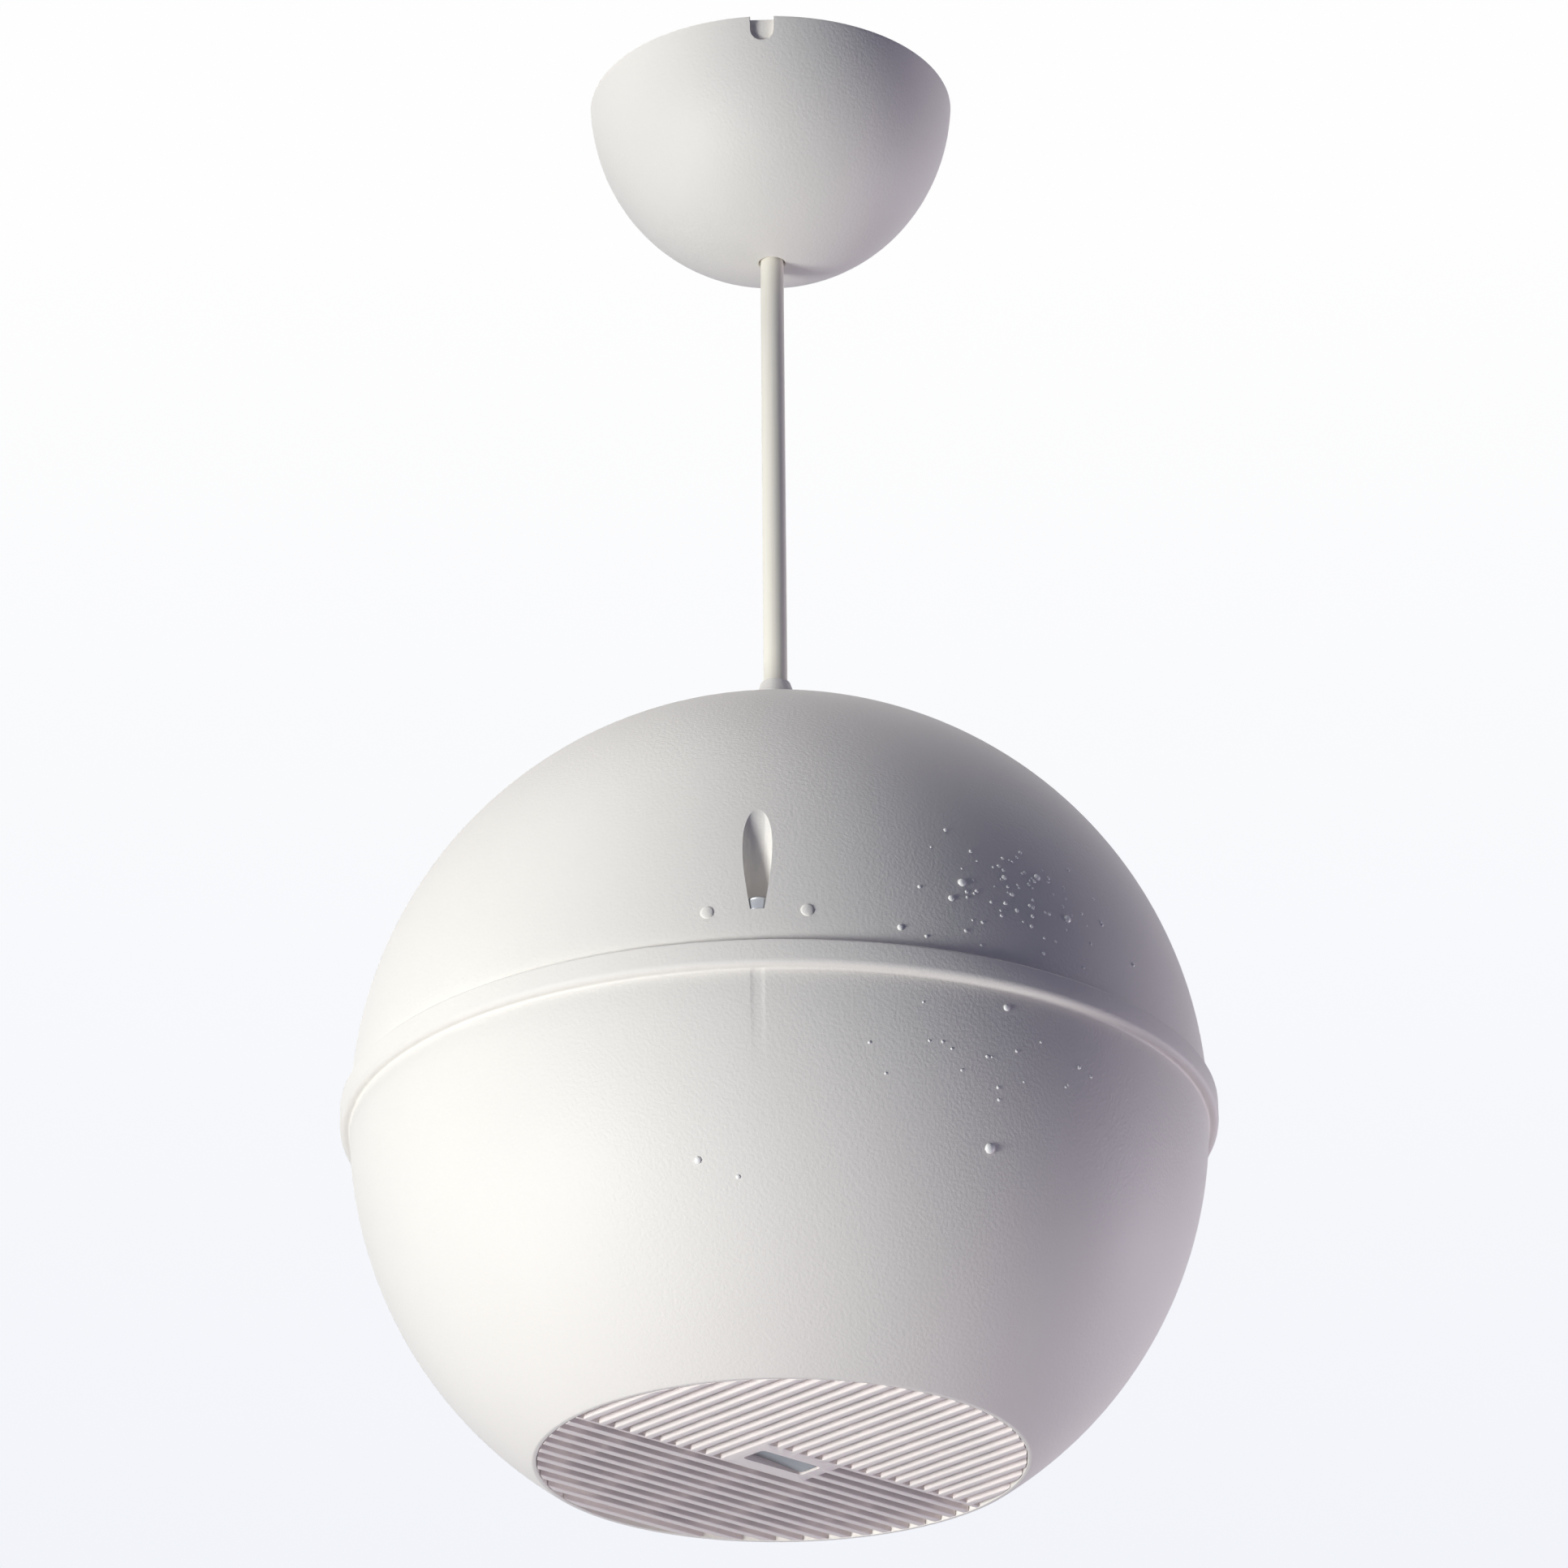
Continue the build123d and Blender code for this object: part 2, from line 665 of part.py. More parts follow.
# Grille: a flat disc, flush in the ball's opening. Two fields of ribs meet in a step at the
# plain block in the middle, and every groove runs out through the disc's edge.
# Inside the field radius the grooves go right through, between bars across their backs.
groove_width = rib_pitch - rib_width
field_step = badge_width / 2 + badge_gap + block_side_border
block_half_length = badge_length / 2 + badge_gap + block_end_border
cloth_radius = grille_screw_from_axis - post_radius - cloth_post_gap
field_radius = cloth_radius - cloth_lap
rib_count = int(shell_radius / rib_pitch)
block_ribs = int(field_step / rib_pitch)
cross_bar_count = int(field_radius / cross_bar_ribs / rib_pitch)
with BuildPart() as front_grille:
    tube(grille_radius, 0, face_z, grille_back_z)
    tube(grille_radius, grille_radius - grille_rim_wall, grille_back_z,
         grille_back_z + grille_rim_height)
    rods(post_radius, plan_points(grille_screw_spots), grille_back_z, baffle_low_z)
    rods(baffle_screw_radius + screw_fit, plan_points(grille_screw_spots),
         baffle_low_z - post_pilot_depth, baffle_low_z, Mode.SUBTRACT)
    with BuildSketch(rib_plane) as grooves:
        for step in range(-rib_count, rib_count + 1):
            # near field, its grooves ending at the step on either side of the block
            ends_at = field_step if step * rib_pitch < -block_half_length else -field_step
            with Locations((step * rib_pitch, ends_at)):
                Rectangle(groove_width, shell_radius, align=(Align.CENTER, Align.MAX))
            # far field, the grooves beside the block starting at its end
            if step > block_ribs:
                with Locations((0, step * rib_pitch)):
                    Rectangle(2 * shell_radius, groove_width)
            elif step >= -block_ribs:
                with Locations((block_half_length, step * rib_pitch)):
                    Rectangle(shell_radius, groove_width, align=(Align.MIN, Align.CENTER))
    extrude(amount=groove_depth, mode=Mode.SUBTRACT)
    with BuildSketch(rib_plane.offset(groove_depth)):
        add(grooves.sketch_local)
        Circle(field_radius, mode=Mode.INTERSECT)
        for step in range(-cross_bar_count, cross_bar_count + 1):
            bar_at = step * cross_bar_ribs * rib_pitch
            with Locations((bar_at, field_step)):
                Rectangle(cross_bar_width, shell_radius, align=(Align.CENTER, Align.MIN),
                          mode=Mode.SUBTRACT)
            with Locations((0, bar_at - field_step)):
                Rectangle(2 * shell_radius, cross_bar_width, align=(Align.CENTER, Align.MAX),
                          mode=Mode.SUBTRACT)
    extrude(amount=grille_thickness, mode=Mode.SUBTRACT)
    with BuildSketch(rib_plane):
        RectangleRounded(badge_length + 2 * badge_gap, badge_width + 2 * badge_gap,
                         badge_corner + badge_gap)
    extrude(amount=badge_sunk + badge_thickness, mode=Mode.SUBTRACT)

# Plain plate in the block's recess
with BuildPart() as badge_plate:
    with BuildSketch(rib_plane.offset(badge_sunk)):
        RectangleRounded(badge_length, badge_width, badge_corner)
    extrude(amount=badge_thickness)

# Acoustic cloth behind the slots
with BuildPart() as grille_cloth:
    tube(cloth_radius, 0, grille_back_z, grille_back_z + cloth_thickness)

grille_screw = screw(baffle_screw_radius, baffle_thickness + post_pilot_depth - pilot_spare,
                     baffle_head_radius, baffle_head_height)
with BuildPart() as grille_screws:
    for spot in plan_points(grille_screw_spots):
        with Locations((spot.X, spot.Y, baffle_top_z)):
            add(grille_screw)

# Driver, built from its flange upwards
basket_throat = flange_radius - flange_width
base_top = basket_depth + basket_wall
wall_run = basket_base_radius - basket_throat
wall_slope = wall_run / (basket_depth - flange_thickness)
ledge_top = basket_depth - spider_ledge + basket_wall
ledge_low = basket_depth - spider_ledge
coil_front = ledge_low - neck_spider_room
ledge_high_radius = basket_throat + wall_slope * (ledge_top - flange_thickness)
ledge_low_radius = basket_throat + wall_slope * (ledge_low - flange_thickness)
coil_inner = pole_radius + coil_gap
coil_outer = coil_inner + coil_wall
plate_bore = coil_outer + coil_gap

with BuildPart() as driver_gasket:
    tube(flange_radius, baffle_hole_radius + gasket_inset, baffle_top_z, driver_z)
    rods(driver_screw_radius + screw_fit, plan_points(driver_screw_spots), baffle_top_z, driver_z,
         Mode.SUBTRACT)

with BuildPart() as driver_basket:
    with BuildSketch(driver_plane):
        with BuildLine():
            Polyline(
                (basket_throat, 0),
                (flange_radius, 0),
                (flange_radius, flange_thickness),
                (basket_throat + basket_wall, flange_thickness),
                (basket_base_radius + basket_wall, basket_depth),
                (basket_base_radius + basket_wall, base_top),
                (plate_bore, base_top),
                (plate_bore, basket_depth),
                (basket_base_radius, basket_depth),
                (ledge_high_radius, ledge_top),
                (ledge_low_radius - spider_ledge_width, ledge_top),
                (ledge_low_radius - spider_ledge_width, ledge_low),
                (ledge_low_radius, ledge_low),
                (basket_throat, flange_thickness),
                close=True)
        make_face()
    revolve(axis=Axis.Z)
    with BuildSketch(Plane.XY.offset(driver_z + window_low)):
        with PolarLocations(flange_radius, driver_screw_count, start_angle=45):
            Rectangle(flange_radius, window_width)
    extrude(amount=ledge_low - window_ledge_gap - window_low, mode=Mode.SUBTRACT)
    shelf_wall_radius = basket_throat + wall_slope * (shelf_depth - flange_thickness)
    with BuildSketch(Plane.XY.offset(driver_z + shelf_depth)):
        with Locations((0, shelf_wall_radius + basket_wall / 2)):
            Rectangle(shelf_length, shelf_reach, align=(Align.CENTER, Align.MIN))
    extrude(amount=basket_wall)
    rods(driver_screw_radius + screw_fit, plan_points(driver_screw_spots), driver_z - cut_over,
         driver_z + flange_thickness + cut_over, Mode.SUBTRACT)

driver_screw = screw(driver_screw_radius, flange_thickness + gasket_thickness + baffle_thickness,
                     driver_head_radius, driver_head_height)
with BuildPart() as driver_screws:
    for spot in plan_points(driver_screw_spots):
        with Locations((spot.X, spot.Y, driver_z + flange_thickness)):
            add(driver_screw)

plate_low_z = driver_z + base_top
magnet_low_z = plate_low_z + top_plate_thickness
yoke_low_z = magnet_low_z + magnet_height
with BuildPart() as top_plate:
    tube(top_plate_radius, plate_bore, plate_low_z, magnet_low_z)

with BuildPart() as driver_magnet:
    tube(magnet_radius, magnet_bore, magnet_low_z, yoke_low_z)

with BuildPart() as yoke_and_pole:
    tube(yoke_radius, 0, yoke_low_z, yoke_low_z + yoke_thickness)
    tube(pole_radius, 0, plate_low_z, yoke_low_z)

with BuildPart() as voice_coil:
    tube(coil_outer, coil_inner, driver_z + coil_front, magnet_low_z + coil_back)

# Cone: a paper funnel from the coil out to a flat rim under the surround
cone_outer = basket_throat - roll_width
cone_neck = coil_front + neck_back
with BuildPart() as driver_cone:
    with BuildSketch(driver_plane):
        with BuildLine():
            Polyline(
                (coil_outer + close_fit, cone_neck),
                (cone_outer - glue_width, 0),
                (cone_outer, 0),
                (cone_outer, cone_wall),
                (cone_outer - glue_width, cone_wall),
                (coil_outer + close_fit, cone_neck + 2 * cone_wall),
                close=True)
        make_face()
    revolve(axis=Axis.Z)

# Surround: a half roll between a lip on the cone's rim and a foot on the flange
with BuildPart() as driver_surround:
    with BuildSketch(driver_plane):
        with Locations((cone_outer + roll_width / 2, 0)):
            Circle(roll_width / 2)
            Circle(roll_width / 2 - surround_wall, mode=Mode.SUBTRACT)
            Rectangle(2 * roll_width, roll_width, align=(Align.CENTER, Align.MAX),
                      mode=Mode.INTERSECT)
        with Locations((cone_outer - glue_width, 0)):
            Rectangle(glue_width + surround_wall, surround_wall, align=(Align.MIN, Align.MAX))
        with Locations((basket_throat - surround_wall, 0)):
            Rectangle(surround_wall + surround_foot, surround_wall, align=(Align.MIN, Align.MAX))
    revolve(axis=Axis.Z)

with BuildPart() as spider:
    with BuildSketch(driver_plane):
        with Locations((coil_outer + close_fit, ledge_low)):
            Rectangle(ledge_low_radius - spider_inset - coil_outer - close_fit, spider_thickness,
                      align=(Align.MIN, Align.MAX))
        ring_step = (ledge_low_radius - spider_ledge_width - coil_outer) / (spider_rings + 1)
        for ring in range(1, spider_rings + 1):
            with Locations((coil_outer + ring * ring_step, ledge_low - spider_thickness)):
                Rectangle(ring_step / 2, spider_ring_height, align=(Align.CENTER, Align.MAX))
    revolve(axis=Axis.Z)

# Dust cap over the coil
cap_ball = (coil_outer**2 + cap_rise**2) / (2 * cap_rise)
with BuildPart() as dust_cap:
    with BuildSketch(driver_plane):
        with Locations((0, coil_front - cap_rise + cap_ball)):
            Circle(cap_ball)
            Circle(cap_ball - cone_wall, mode=Mode.SUBTRACT)
        with Locations((0, coil_front)):
            Rectangle(2 * coil_outer, 2 * cap_rise, align=(Align.MIN, Align.MAX),
                      mode=Mode.INTERSECT)
    revolve(axis=Axis.Z)

# Tag board on the basket's shelf
board_low_z = driver_z + shelf_depth + basket_wall
board_y = shelf_wall_radius + basket_wall / 2 + shelf_reach - board_inset - board_width / 2
with BuildPart() as tag_board:
    with BuildSketch(Plane.XY.offset(board_low_z)):
        with Locations((0, board_y)):
            Rectangle(shelf_length - 2 * board_inset, board_width)
    extrude(amount=board_thickness)

with BuildPart() as solder_tags:
    with BuildSketch(Plane.XY.offset(board_low_z + board_thickness)):
        with Locations((0, board_y)):
            with GridLocations(tag_spacing, 0, 2, 1):
                Rectangle(tag_width, tag_thickness)
    extrude(amount=tag_height)

# Chassis bar on the two posts
transformer_foot_x = core_length / 2 + clamp_thickness + clamp_foot / 2
tap_x = transformer_foot_x - tap_inset
with BuildPart() as chassis_bar:
    with BuildSketch(Plane.XY.offset(bar_top_z)) as bar_plan:
        Rectangle(bar_length, bar_width)
        fillet(bar_plan.vertices(), bar_corner)
        with Locations(*bar_posts):
            Circle(driver_screw_radius + screw_fit, mode=Mode.SUBTRACT)
        with GridLocations(2 * transformer_foot_x, 0, 2, 1):
            Circle(small_screw_radius + screw_fit, mode=Mode.SUBTRACT)
    extrude(amount=-steel_thickness)

bar_screw = screw(driver_screw_radius, steel_thickness + bar_screw_grip, driver_head_radius,
                  driver_head_height)
with BuildPart() as bar_screws:
    for spot in plan_points(bar_posts):
        with Locations(Plane(origin=(spot.X, spot.Y, bar_low_z), z_dir=(0, 0, -1))):
            add(bar_screw)

# Line transformer hung under the bar
core_mid_z = bar_low_z - core_height / 2
core_window_height = core_height - 2 * core_leg
core_window_x = core_length / 2 - core_leg
with BuildPart() as transformer_core:
    with BuildSketch(Plane.XZ):
        with Locations((0, core_mid_z)):
            Rectangle(core_length, core_height)
            with GridLocations(core_window_x + core_leg, 0, 2, 1):
                Rectangle(core_window_x - core_leg, core_window_height, mode=Mode.SUBTRACT)
    extrude(amount=core_depth / 2, both=True)

coil_half_height = core_window_height / 2 - seat_fit
with BuildPart() as transformer_coil:
    with BuildSketch(Plane.XY.offset(core_mid_z - coil_half_height)) as winding:
        Rectangle(2 * (core_window_x - seat_fit), core_depth + 2 * coil_side)
        fillet(winding.vertices(), winding_corner)
        Rectangle(2 * (core_leg + seat_fit), core_depth + 2 * seat_fit, mode=Mode.SUBTRACT)
    extrude(amount=2 * coil_half_height)

clamp_inner = core_length / 2 + close_fit
clamp_low_z = bar_low_z - core_height - clamp_thickness
with BuildPart() as transformer_clamp:
    with BuildSketch(Plane.XZ):
        with BuildLine():
            Polyline(
                (clamp_inner, bar_low_z),
                (clamp_inner + clamp_thickness + clamp_foot, bar_low_z),
                (clamp_inner + clamp_thickness + clamp_foot, bar_low_z - clamp_thickness),
                (clamp_inner + clamp_thickness, bar_low_z - clamp_thickness),
                (clamp_inner + clamp_thickness, clamp_low_z),
                (-clamp_inner - clamp_thickness, clamp_low_z),
                (-clamp_inner - clamp_thickness, bar_low_z - clamp_thickness),
                (-clamp_inner - clamp_thickness - clamp_foot, bar_low_z - clamp_thickness),
                (-clamp_inner - clamp_thickness - clamp_foot, bar_low_z),
                (-clamp_inner, bar_low_z),
                (-clamp_inner, clamp_low_z + clamp_thickness),
                (clamp_inner, clamp_low_z + clamp_thickness),
                close=True)
        make_face()
    extrude(amount=core_depth / 2, both=True)
    with BuildSketch(Plane.XY.offset(bar_low_z)):
        with GridLocations(2 * transformer_foot_x, 0, 2, 1):
            Circle(small_screw_radius + screw_fit)
    extrude(amount=-clamp_thickness, mode=Mode.SUBTRACT)

clamp_screw = screw(small_screw_radius, clamp_thickness + steel_thickness, small_head_radius,
                    small_head_height)
with BuildPart() as transformer_screws:
    clamp_screw_plane = Plane(origin=(0, 0, bar_low_z - clamp_thickness), z_dir=(0, 0, -1))
    with Locations(clamp_screw_plane):
        with GridLocations(2 * transformer_foot_x, 0, 2, 1):
            add(clamp_screw)

# Power-tap terminal block on top of the bar
with BuildPart() as tap_block:
    with BuildSketch(Plane.XY.offset(bar_top_z)) as tap_plan:
        with Locations((tap_x, 0)):
            Rectangle(tap_length, tap_width)
        fillet(tap_plan.vertices(), block_corner)
    extrude(amount=tap_height)

# Leads inside the ball: the cord's two cores to the tap block, and the transformer's
# two output leads to the driver's tags
supply_lead_z = bar_top_z + tap_height / 2
supply_routes = [
    [(0, side * core_spread, cord_end_z),
     (0, side * core_spread, supply_lead_z),
     (tap_x - tap_length / 2, side * core_spread, supply_lead_z)]
    for side in (-1, 1)]
drive_start_y = core_depth / 2 + coil_side - lead_inset
drive_routes = [
    [(side * tag_spacing / 2, drive_start_y, core_mid_z - coil_half_height),
     (side * tag_spacing / 2, drive_start_y, middle_z),
     (side * tag_spacing / 2, board_y, middle_z),
     (side * tag_spacing / 2, board_y, board_low_z + board_thickness + tag_height)]
    for side in (-1, 1)]

supply_lead_parts = [lead(points, lead_bend) for points in supply_routes]
with BuildPart() as supply_leads:
    add(supply_lead_parts)

drive_lead_parts = [lead(points, lead_bend) for points in drive_routes]
with BuildPart() as driver_leads:
    add(drive_lead_parts)

# Felt ring that lines the upper half, between the wells and the bar's posts
felt_outer = inner_radius - lining_fit
felt_inner = felt_outer - felt_thickness
felt_low = well_reach + felt_well_gap
felt_high = sqrt(felt_inner**2 - (bar_post_spacing / 2 + bar_post_radius + felt_post_gap)**2)
with BuildPart() as damping_felt:
    with BuildSketch(Plane.XZ):
        with Locations((0, upper_z)):
            Circle(felt_outer)
            Circle(felt_inner, mode=Mode.SUBTRACT)
        with Locations((0, upper_z + felt_low)):
            Rectangle(shell_radius, felt_high - felt_low, align=(Align.MIN, Align.MIN),
                      mode=Mode.INTERSECT)
    revolve(axis=Axis.Z)

# Names and files
pieces = {
    "ceiling_cup": ceiling_cup,
    "cup_grommet": cup_grommet,
    "ceiling_bracket": ceiling_bracket,
    "cord_saddle": cord_saddle,
    "saddle_screws": saddle_screws,
    "terminal_block": terminal_block,
    "terminal_inserts": terminal_inserts,
    "terminal_screws": terminal_screws,
    "block_screw": block_screw,
    "cord": cord,
    "ceiling_leads": ceiling_leads,
    "cord_gland": cord_gland,
    "gland_nut": gland_nut,
    "cord_stop": cord_stop,
    "stop_screws": stop_screws,
    "upper_shell": upper_shell,
    "lower_shell": lower_shell,
    "shell_seal": shell_seal,
    "shell_screws": shell_screws,
    "front_grille": front_grille,
    "badge_plate": badge_plate,
    "grille_cloth": grille_cloth,
    "grille_screws": grille_screws,
    "driver_gasket": driver_gasket,
    "driver_basket": driver_basket,
    "driver_screws": driver_screws,
    "top_plate": top_plate,
    "driver_magnet": driver_magnet,
    "yoke_and_pole": yoke_and_pole,
    "voice_coil": voice_coil,
    "driver_cone": driver_cone,
    "driver_surround": driver_surround,
    "spider": spider,
    "dust_cap": dust_cap,
    "tag_board": tag_board,
    "solder_tags": solder_tags,
    "chassis_bar": chassis_bar,
    "bar_screws": bar_screws,
    "transformer_core": transformer_core,
    "transformer_coil": transformer_coil,
    "transformer_clamp": transformer_clamp,
    "transformer_screws": transformer_screws,
    "tap_block": tap_block,
    "supply_leads": supply_leads,
    "driver_leads": driver_leads,
    "damping_felt": damping_felt,
}
for name, piece in pieces.items():
    piece.part.label = name
    export_step(piece.part, f"parts/{name}.step")
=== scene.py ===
# %% [markdown]
# # A ball-shaped pendant speaker
# The speaker hangs on its own supply cord from a small domed cup on the ceiling. Two
# moulded half balls meet in a raised band, and a ribbed disc closes the flat underneath.
# The CAD part gives every size and place. Here the mouldings that show are made again as
# smooth meshes with rounded edges, and every piece gets its finish.

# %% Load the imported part
import json
import math
import random

import bmesh
import bpy
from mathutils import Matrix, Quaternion, Vector


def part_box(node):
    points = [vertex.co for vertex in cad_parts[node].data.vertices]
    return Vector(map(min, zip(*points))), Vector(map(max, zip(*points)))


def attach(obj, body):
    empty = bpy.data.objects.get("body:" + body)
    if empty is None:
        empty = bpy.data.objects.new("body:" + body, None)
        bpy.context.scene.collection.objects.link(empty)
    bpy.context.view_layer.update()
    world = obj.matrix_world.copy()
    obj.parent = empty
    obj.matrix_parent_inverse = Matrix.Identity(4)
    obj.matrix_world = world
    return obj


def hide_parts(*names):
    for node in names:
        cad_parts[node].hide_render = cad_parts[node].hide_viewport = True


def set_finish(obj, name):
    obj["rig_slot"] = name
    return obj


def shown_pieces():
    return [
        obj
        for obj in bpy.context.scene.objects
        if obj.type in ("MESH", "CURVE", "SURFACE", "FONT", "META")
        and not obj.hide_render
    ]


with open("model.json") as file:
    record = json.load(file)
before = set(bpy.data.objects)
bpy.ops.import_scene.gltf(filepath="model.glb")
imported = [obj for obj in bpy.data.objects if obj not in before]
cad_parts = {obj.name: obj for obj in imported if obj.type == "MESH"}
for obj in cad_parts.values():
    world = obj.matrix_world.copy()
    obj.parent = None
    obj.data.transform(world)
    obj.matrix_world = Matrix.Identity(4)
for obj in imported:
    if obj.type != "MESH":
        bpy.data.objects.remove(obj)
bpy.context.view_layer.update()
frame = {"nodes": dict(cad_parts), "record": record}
mm = 0.001

# %% [markdown]
# ## Camera
# The viewer stands below the ball and looks up at it with a long lens, so the underside
# shows and the upright lines stay almost parallel. The lens and the place were worked out
# from the outlines of the ball, its flat face and the cup.

# %% Camera
camera_place = (0.0571, -1.2695, -0.7692)
heading_deg = 2.5
pitch_deg = 25.17
roll_deg = -0.52
sensor_mm = 36
lens_mm = 146.5
bpy.ops.object.camera_add(location=camera_place)
camera = bpy.context.object
camera.rotation_mode = "QUATERNION"
camera.rotation_quaternion = (
    Quaternion((0, 0, 1), math.radians(heading_deg))
    @ Quaternion((1, 0, 0), math.radians(90 + pitch_deg))
    @ Quaternion((0, 0, 1), math.radians(roll_deg)))
camera.data.sensor_width = sensor_mm
camera.data.lens = lens_mm
bpy.context.scene.camera = camera
print("camera at", [round(x, 3) for x in camera.location])

# %% [markdown]
# ## Cord
# One round cream-white cord carries the ball. Its weight pulls the cord straight, so the
# centre line is a straight spline from the clamp in the cup to just below the metal stop
# in the ball. The bevel is 1 and each point's radius is the cord's own, because a curve's
# box is measured from the radius of its points.

# %% Cord
cord_diameter = 5.3 * mm
cord_top_z = -3.2 * mm
cord_end_z = -185.2 * mm
cord_points = [(0, 0, cord_top_z), (0, 0, -72 * mm), (0, 0, -116 * mm), (0, 0, cord_end_z)]

bpy.ops.object.select_all(action="DESELECT")
cord_curve = bpy.data.curves.new("cord_line", "CURVE")
cord_curve.dimensions = "3D"
cord_curve.bevel_depth = 1
cord_curve.bevel_resolution = 8
cord_curve.resolution_u = 12
cord_curve.use_fill_caps = True
cord_spline = cord_curve.splines.new("NURBS")
cord_spline.points.add(len(cord_points) - 1)
for point, place in zip(cord_spline.points, cord_points):
    point.co = (*place, 1)
    point.radius = cord_diameter / 2
cord_spline.order_u = 3
cord_spline.use_endpoint_u = True
cord_line = bpy.data.objects.new("cord_line", cord_curve)
bpy.context.scene.collection.objects.link(cord_line)
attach(cord_line, "root")
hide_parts("cord")
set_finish(cord_line, "cord_pvc")
print("cord length in mm:", round((cord_top_z - cord_end_z) / mm, 1))

# %% [markdown]
# ## Turned shapes
# Every moulding here is round about the axis. Half of its section is drawn point by point
# by extruding one vertex, its corners are rounded with a vertex bevel, and one spin about
# the axis makes the body. That keeps the form exact and its edges soft.

# %% Helpers for modelling
axis_steps = 256
corner_segments = 5
weld_distance = 1e-6
same_place = 1e-5
# A face looks down an axis when its normal's share of that axis is below this
looks_down = -0.9
# How far a cutter reaches past what it cuts
overrun = 1 * mm


def select_only(piece):
    # Only this piece is selected and active
    bpy.ops.object.select_all(action="DESELECT")
    piece.select_set(True)
    bpy.context.view_layer.objects.active = piece


def pick(piece, kind, test):
    # In edit mode, selects the vertices, edges or faces that pass the test
    bpy.ops.mesh.select_mode(type=kind)
    bpy.ops.mesh.select_all(action="DESELECT")
    mesh = bmesh.from_edit_mesh(piece.data)
    parts = {"VERT": mesh.verts, "EDGE": mesh.edges, "FACE": mesh.faces}[kind]
    for part in parts:
        if test(part):
            part.select = True
    mesh.select_flush_mode()
    bmesh.update_edit_mesh(piece.data)


def arc(centre_z, radius, start_deg, end_deg, count):
    # Points of a circle about (0, centre_z) as (r, z), angles measured up from level
    angles = [start_deg + (end_deg - start_deg) * k / count for k in range(count + 1)]
    return [(radius * math.cos(math.radians(angle)),
             centre_z + radius * math.sin(math.radians(angle))) for angle in angles]


def up_angle(height, radius):
    # Angle above level at which a circle reaches this height over its centre
    return math.degrees(math.asin(height / radius))


def turned(name, outline, corners=(), steps=axis_steps, closed=True):
    # Draws half a section, rounds the given corners and spins it about the axis
    bpy.ops.object.select_all(action="DESELECT")
    bpy.ops.mesh.primitive_plane_add(size=mm)
    piece = bpy.context.object
    piece.name = name
    bpy.ops.object.mode_set(mode="EDIT")
    bpy.ops.mesh.select_mode(type="VERT")
    bpy.ops.mesh.select_all(action="SELECT")
    bpy.ops.mesh.merge(type="CENTER")
    bpy.ops.transform.translate(value=(outline[0][0], 0, outline[0][1]))
    path = outline + [outline[0]] if closed else outline
    for here, there in zip(path, path[1:]):
        step = (there[0] - here[0], 0, there[1] - here[1])
        bpy.ops.mesh.extrude_region_move(TRANSFORM_OT_translate={"value": step})
    bpy.ops.mesh.select_all(action="SELECT")
    bpy.ops.mesh.remove_doubles(threshold=weld_distance)
    for (r, z), radius in corners:
        pick(piece, "VERT", lambda v: math.hypot(v.co.x - r, v.co.z - z) < same_place)
        bpy.ops.mesh.bevel(offset=radius, segments=corner_segments, affect="VERTICES")
    bpy.ops.mesh.select_all(action="SELECT")
    bpy.ops.mesh.spin(steps=steps, angle=2 * math.pi, center=(0, 0, 0), axis=(0, 0, 1),
                      use_auto_merge=True)
    bpy.ops.mesh.select_all(action="SELECT")
    bpy.ops.mesh.remove_doubles(threshold=weld_distance)
    bpy.ops.mesh.normals_make_consistent(inside=False)
    bpy.ops.object.mode_set(mode="OBJECT")
    return piece


def rods(radius, low, high, spots, sides=64):
    # Upright cylinders at the given places, joined into one cutter
    made = []
    for x, y in spots:
        bpy.ops.object.select_all(action="DESELECT")
        bpy.ops.mesh.primitive_cylinder_add(vertices=sides, radius=radius, depth=high - low,
                                            location=(x, y, (low + high) / 2))
        made.append(bpy.context.object)
    return joined(made)


def block(size, location, turn=0):
    # A cuboid with its middle at a place, turned about the upright axis
    bpy.ops.object.select_all(action="DESELECT")
    bpy.ops.mesh.primitive_cube_add(size=1, location=location, rotation=(0, 0, turn),
                                    scale=size)
    piece = bpy.context.object
    bpy.ops.object.transform_apply(location=True, rotation=True, scale=True)
    return piece


def placed_copy(template, location, turn=0):
    # A copy with its own mesh at another place, turned about the upright axis
    copy = template.copy()
    copy.data = template.data.copy()
    bpy.context.scene.collection.objects.link(copy)
    copy.location = location
    copy.rotation_euler = (0, 0, turn)
    return copy


def joined(made):
    # Joins objects into the first one, with its place applied to its mesh
    bpy.ops.object.select_all(action="DESELECT")
    for piece in made:
        piece.select_set(True)
    bpy.context.view_layer.objects.active = made[0]
    if len(made) > 1:
        bpy.ops.object.join()
    bpy.ops.object.transform_apply(location=True, rotation=True, scale=True)
    return made[0]


def carve(piece, cutter, operation="DIFFERENCE"):
    # Cuts or adds the cutter with a boolean modifier, and removes it
    select_only(piece)
    cut = piece.modifiers.new("carve", "BOOLEAN")
    cut.object = cutter
    cut.operation = operation
    cut.solver = "MANIFOLD"
    bpy.ops.object.modifier_apply(modifier=cut.name)
    bpy.data.objects.remove(cutter)


def finish_piece(piece, node, slot, smooth_deg=32):
    # Smooth shading with crisp edges, then the piece takes its CAD node's place
    select_only(piece)
    bpy.ops.object.shade_smooth_by_angle(angle=math.radians(smooth_deg))
    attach(piece, "root")
    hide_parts(node)
    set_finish(piece, slot)
    print(piece.name, "faces:", len(piece.data.polygons))


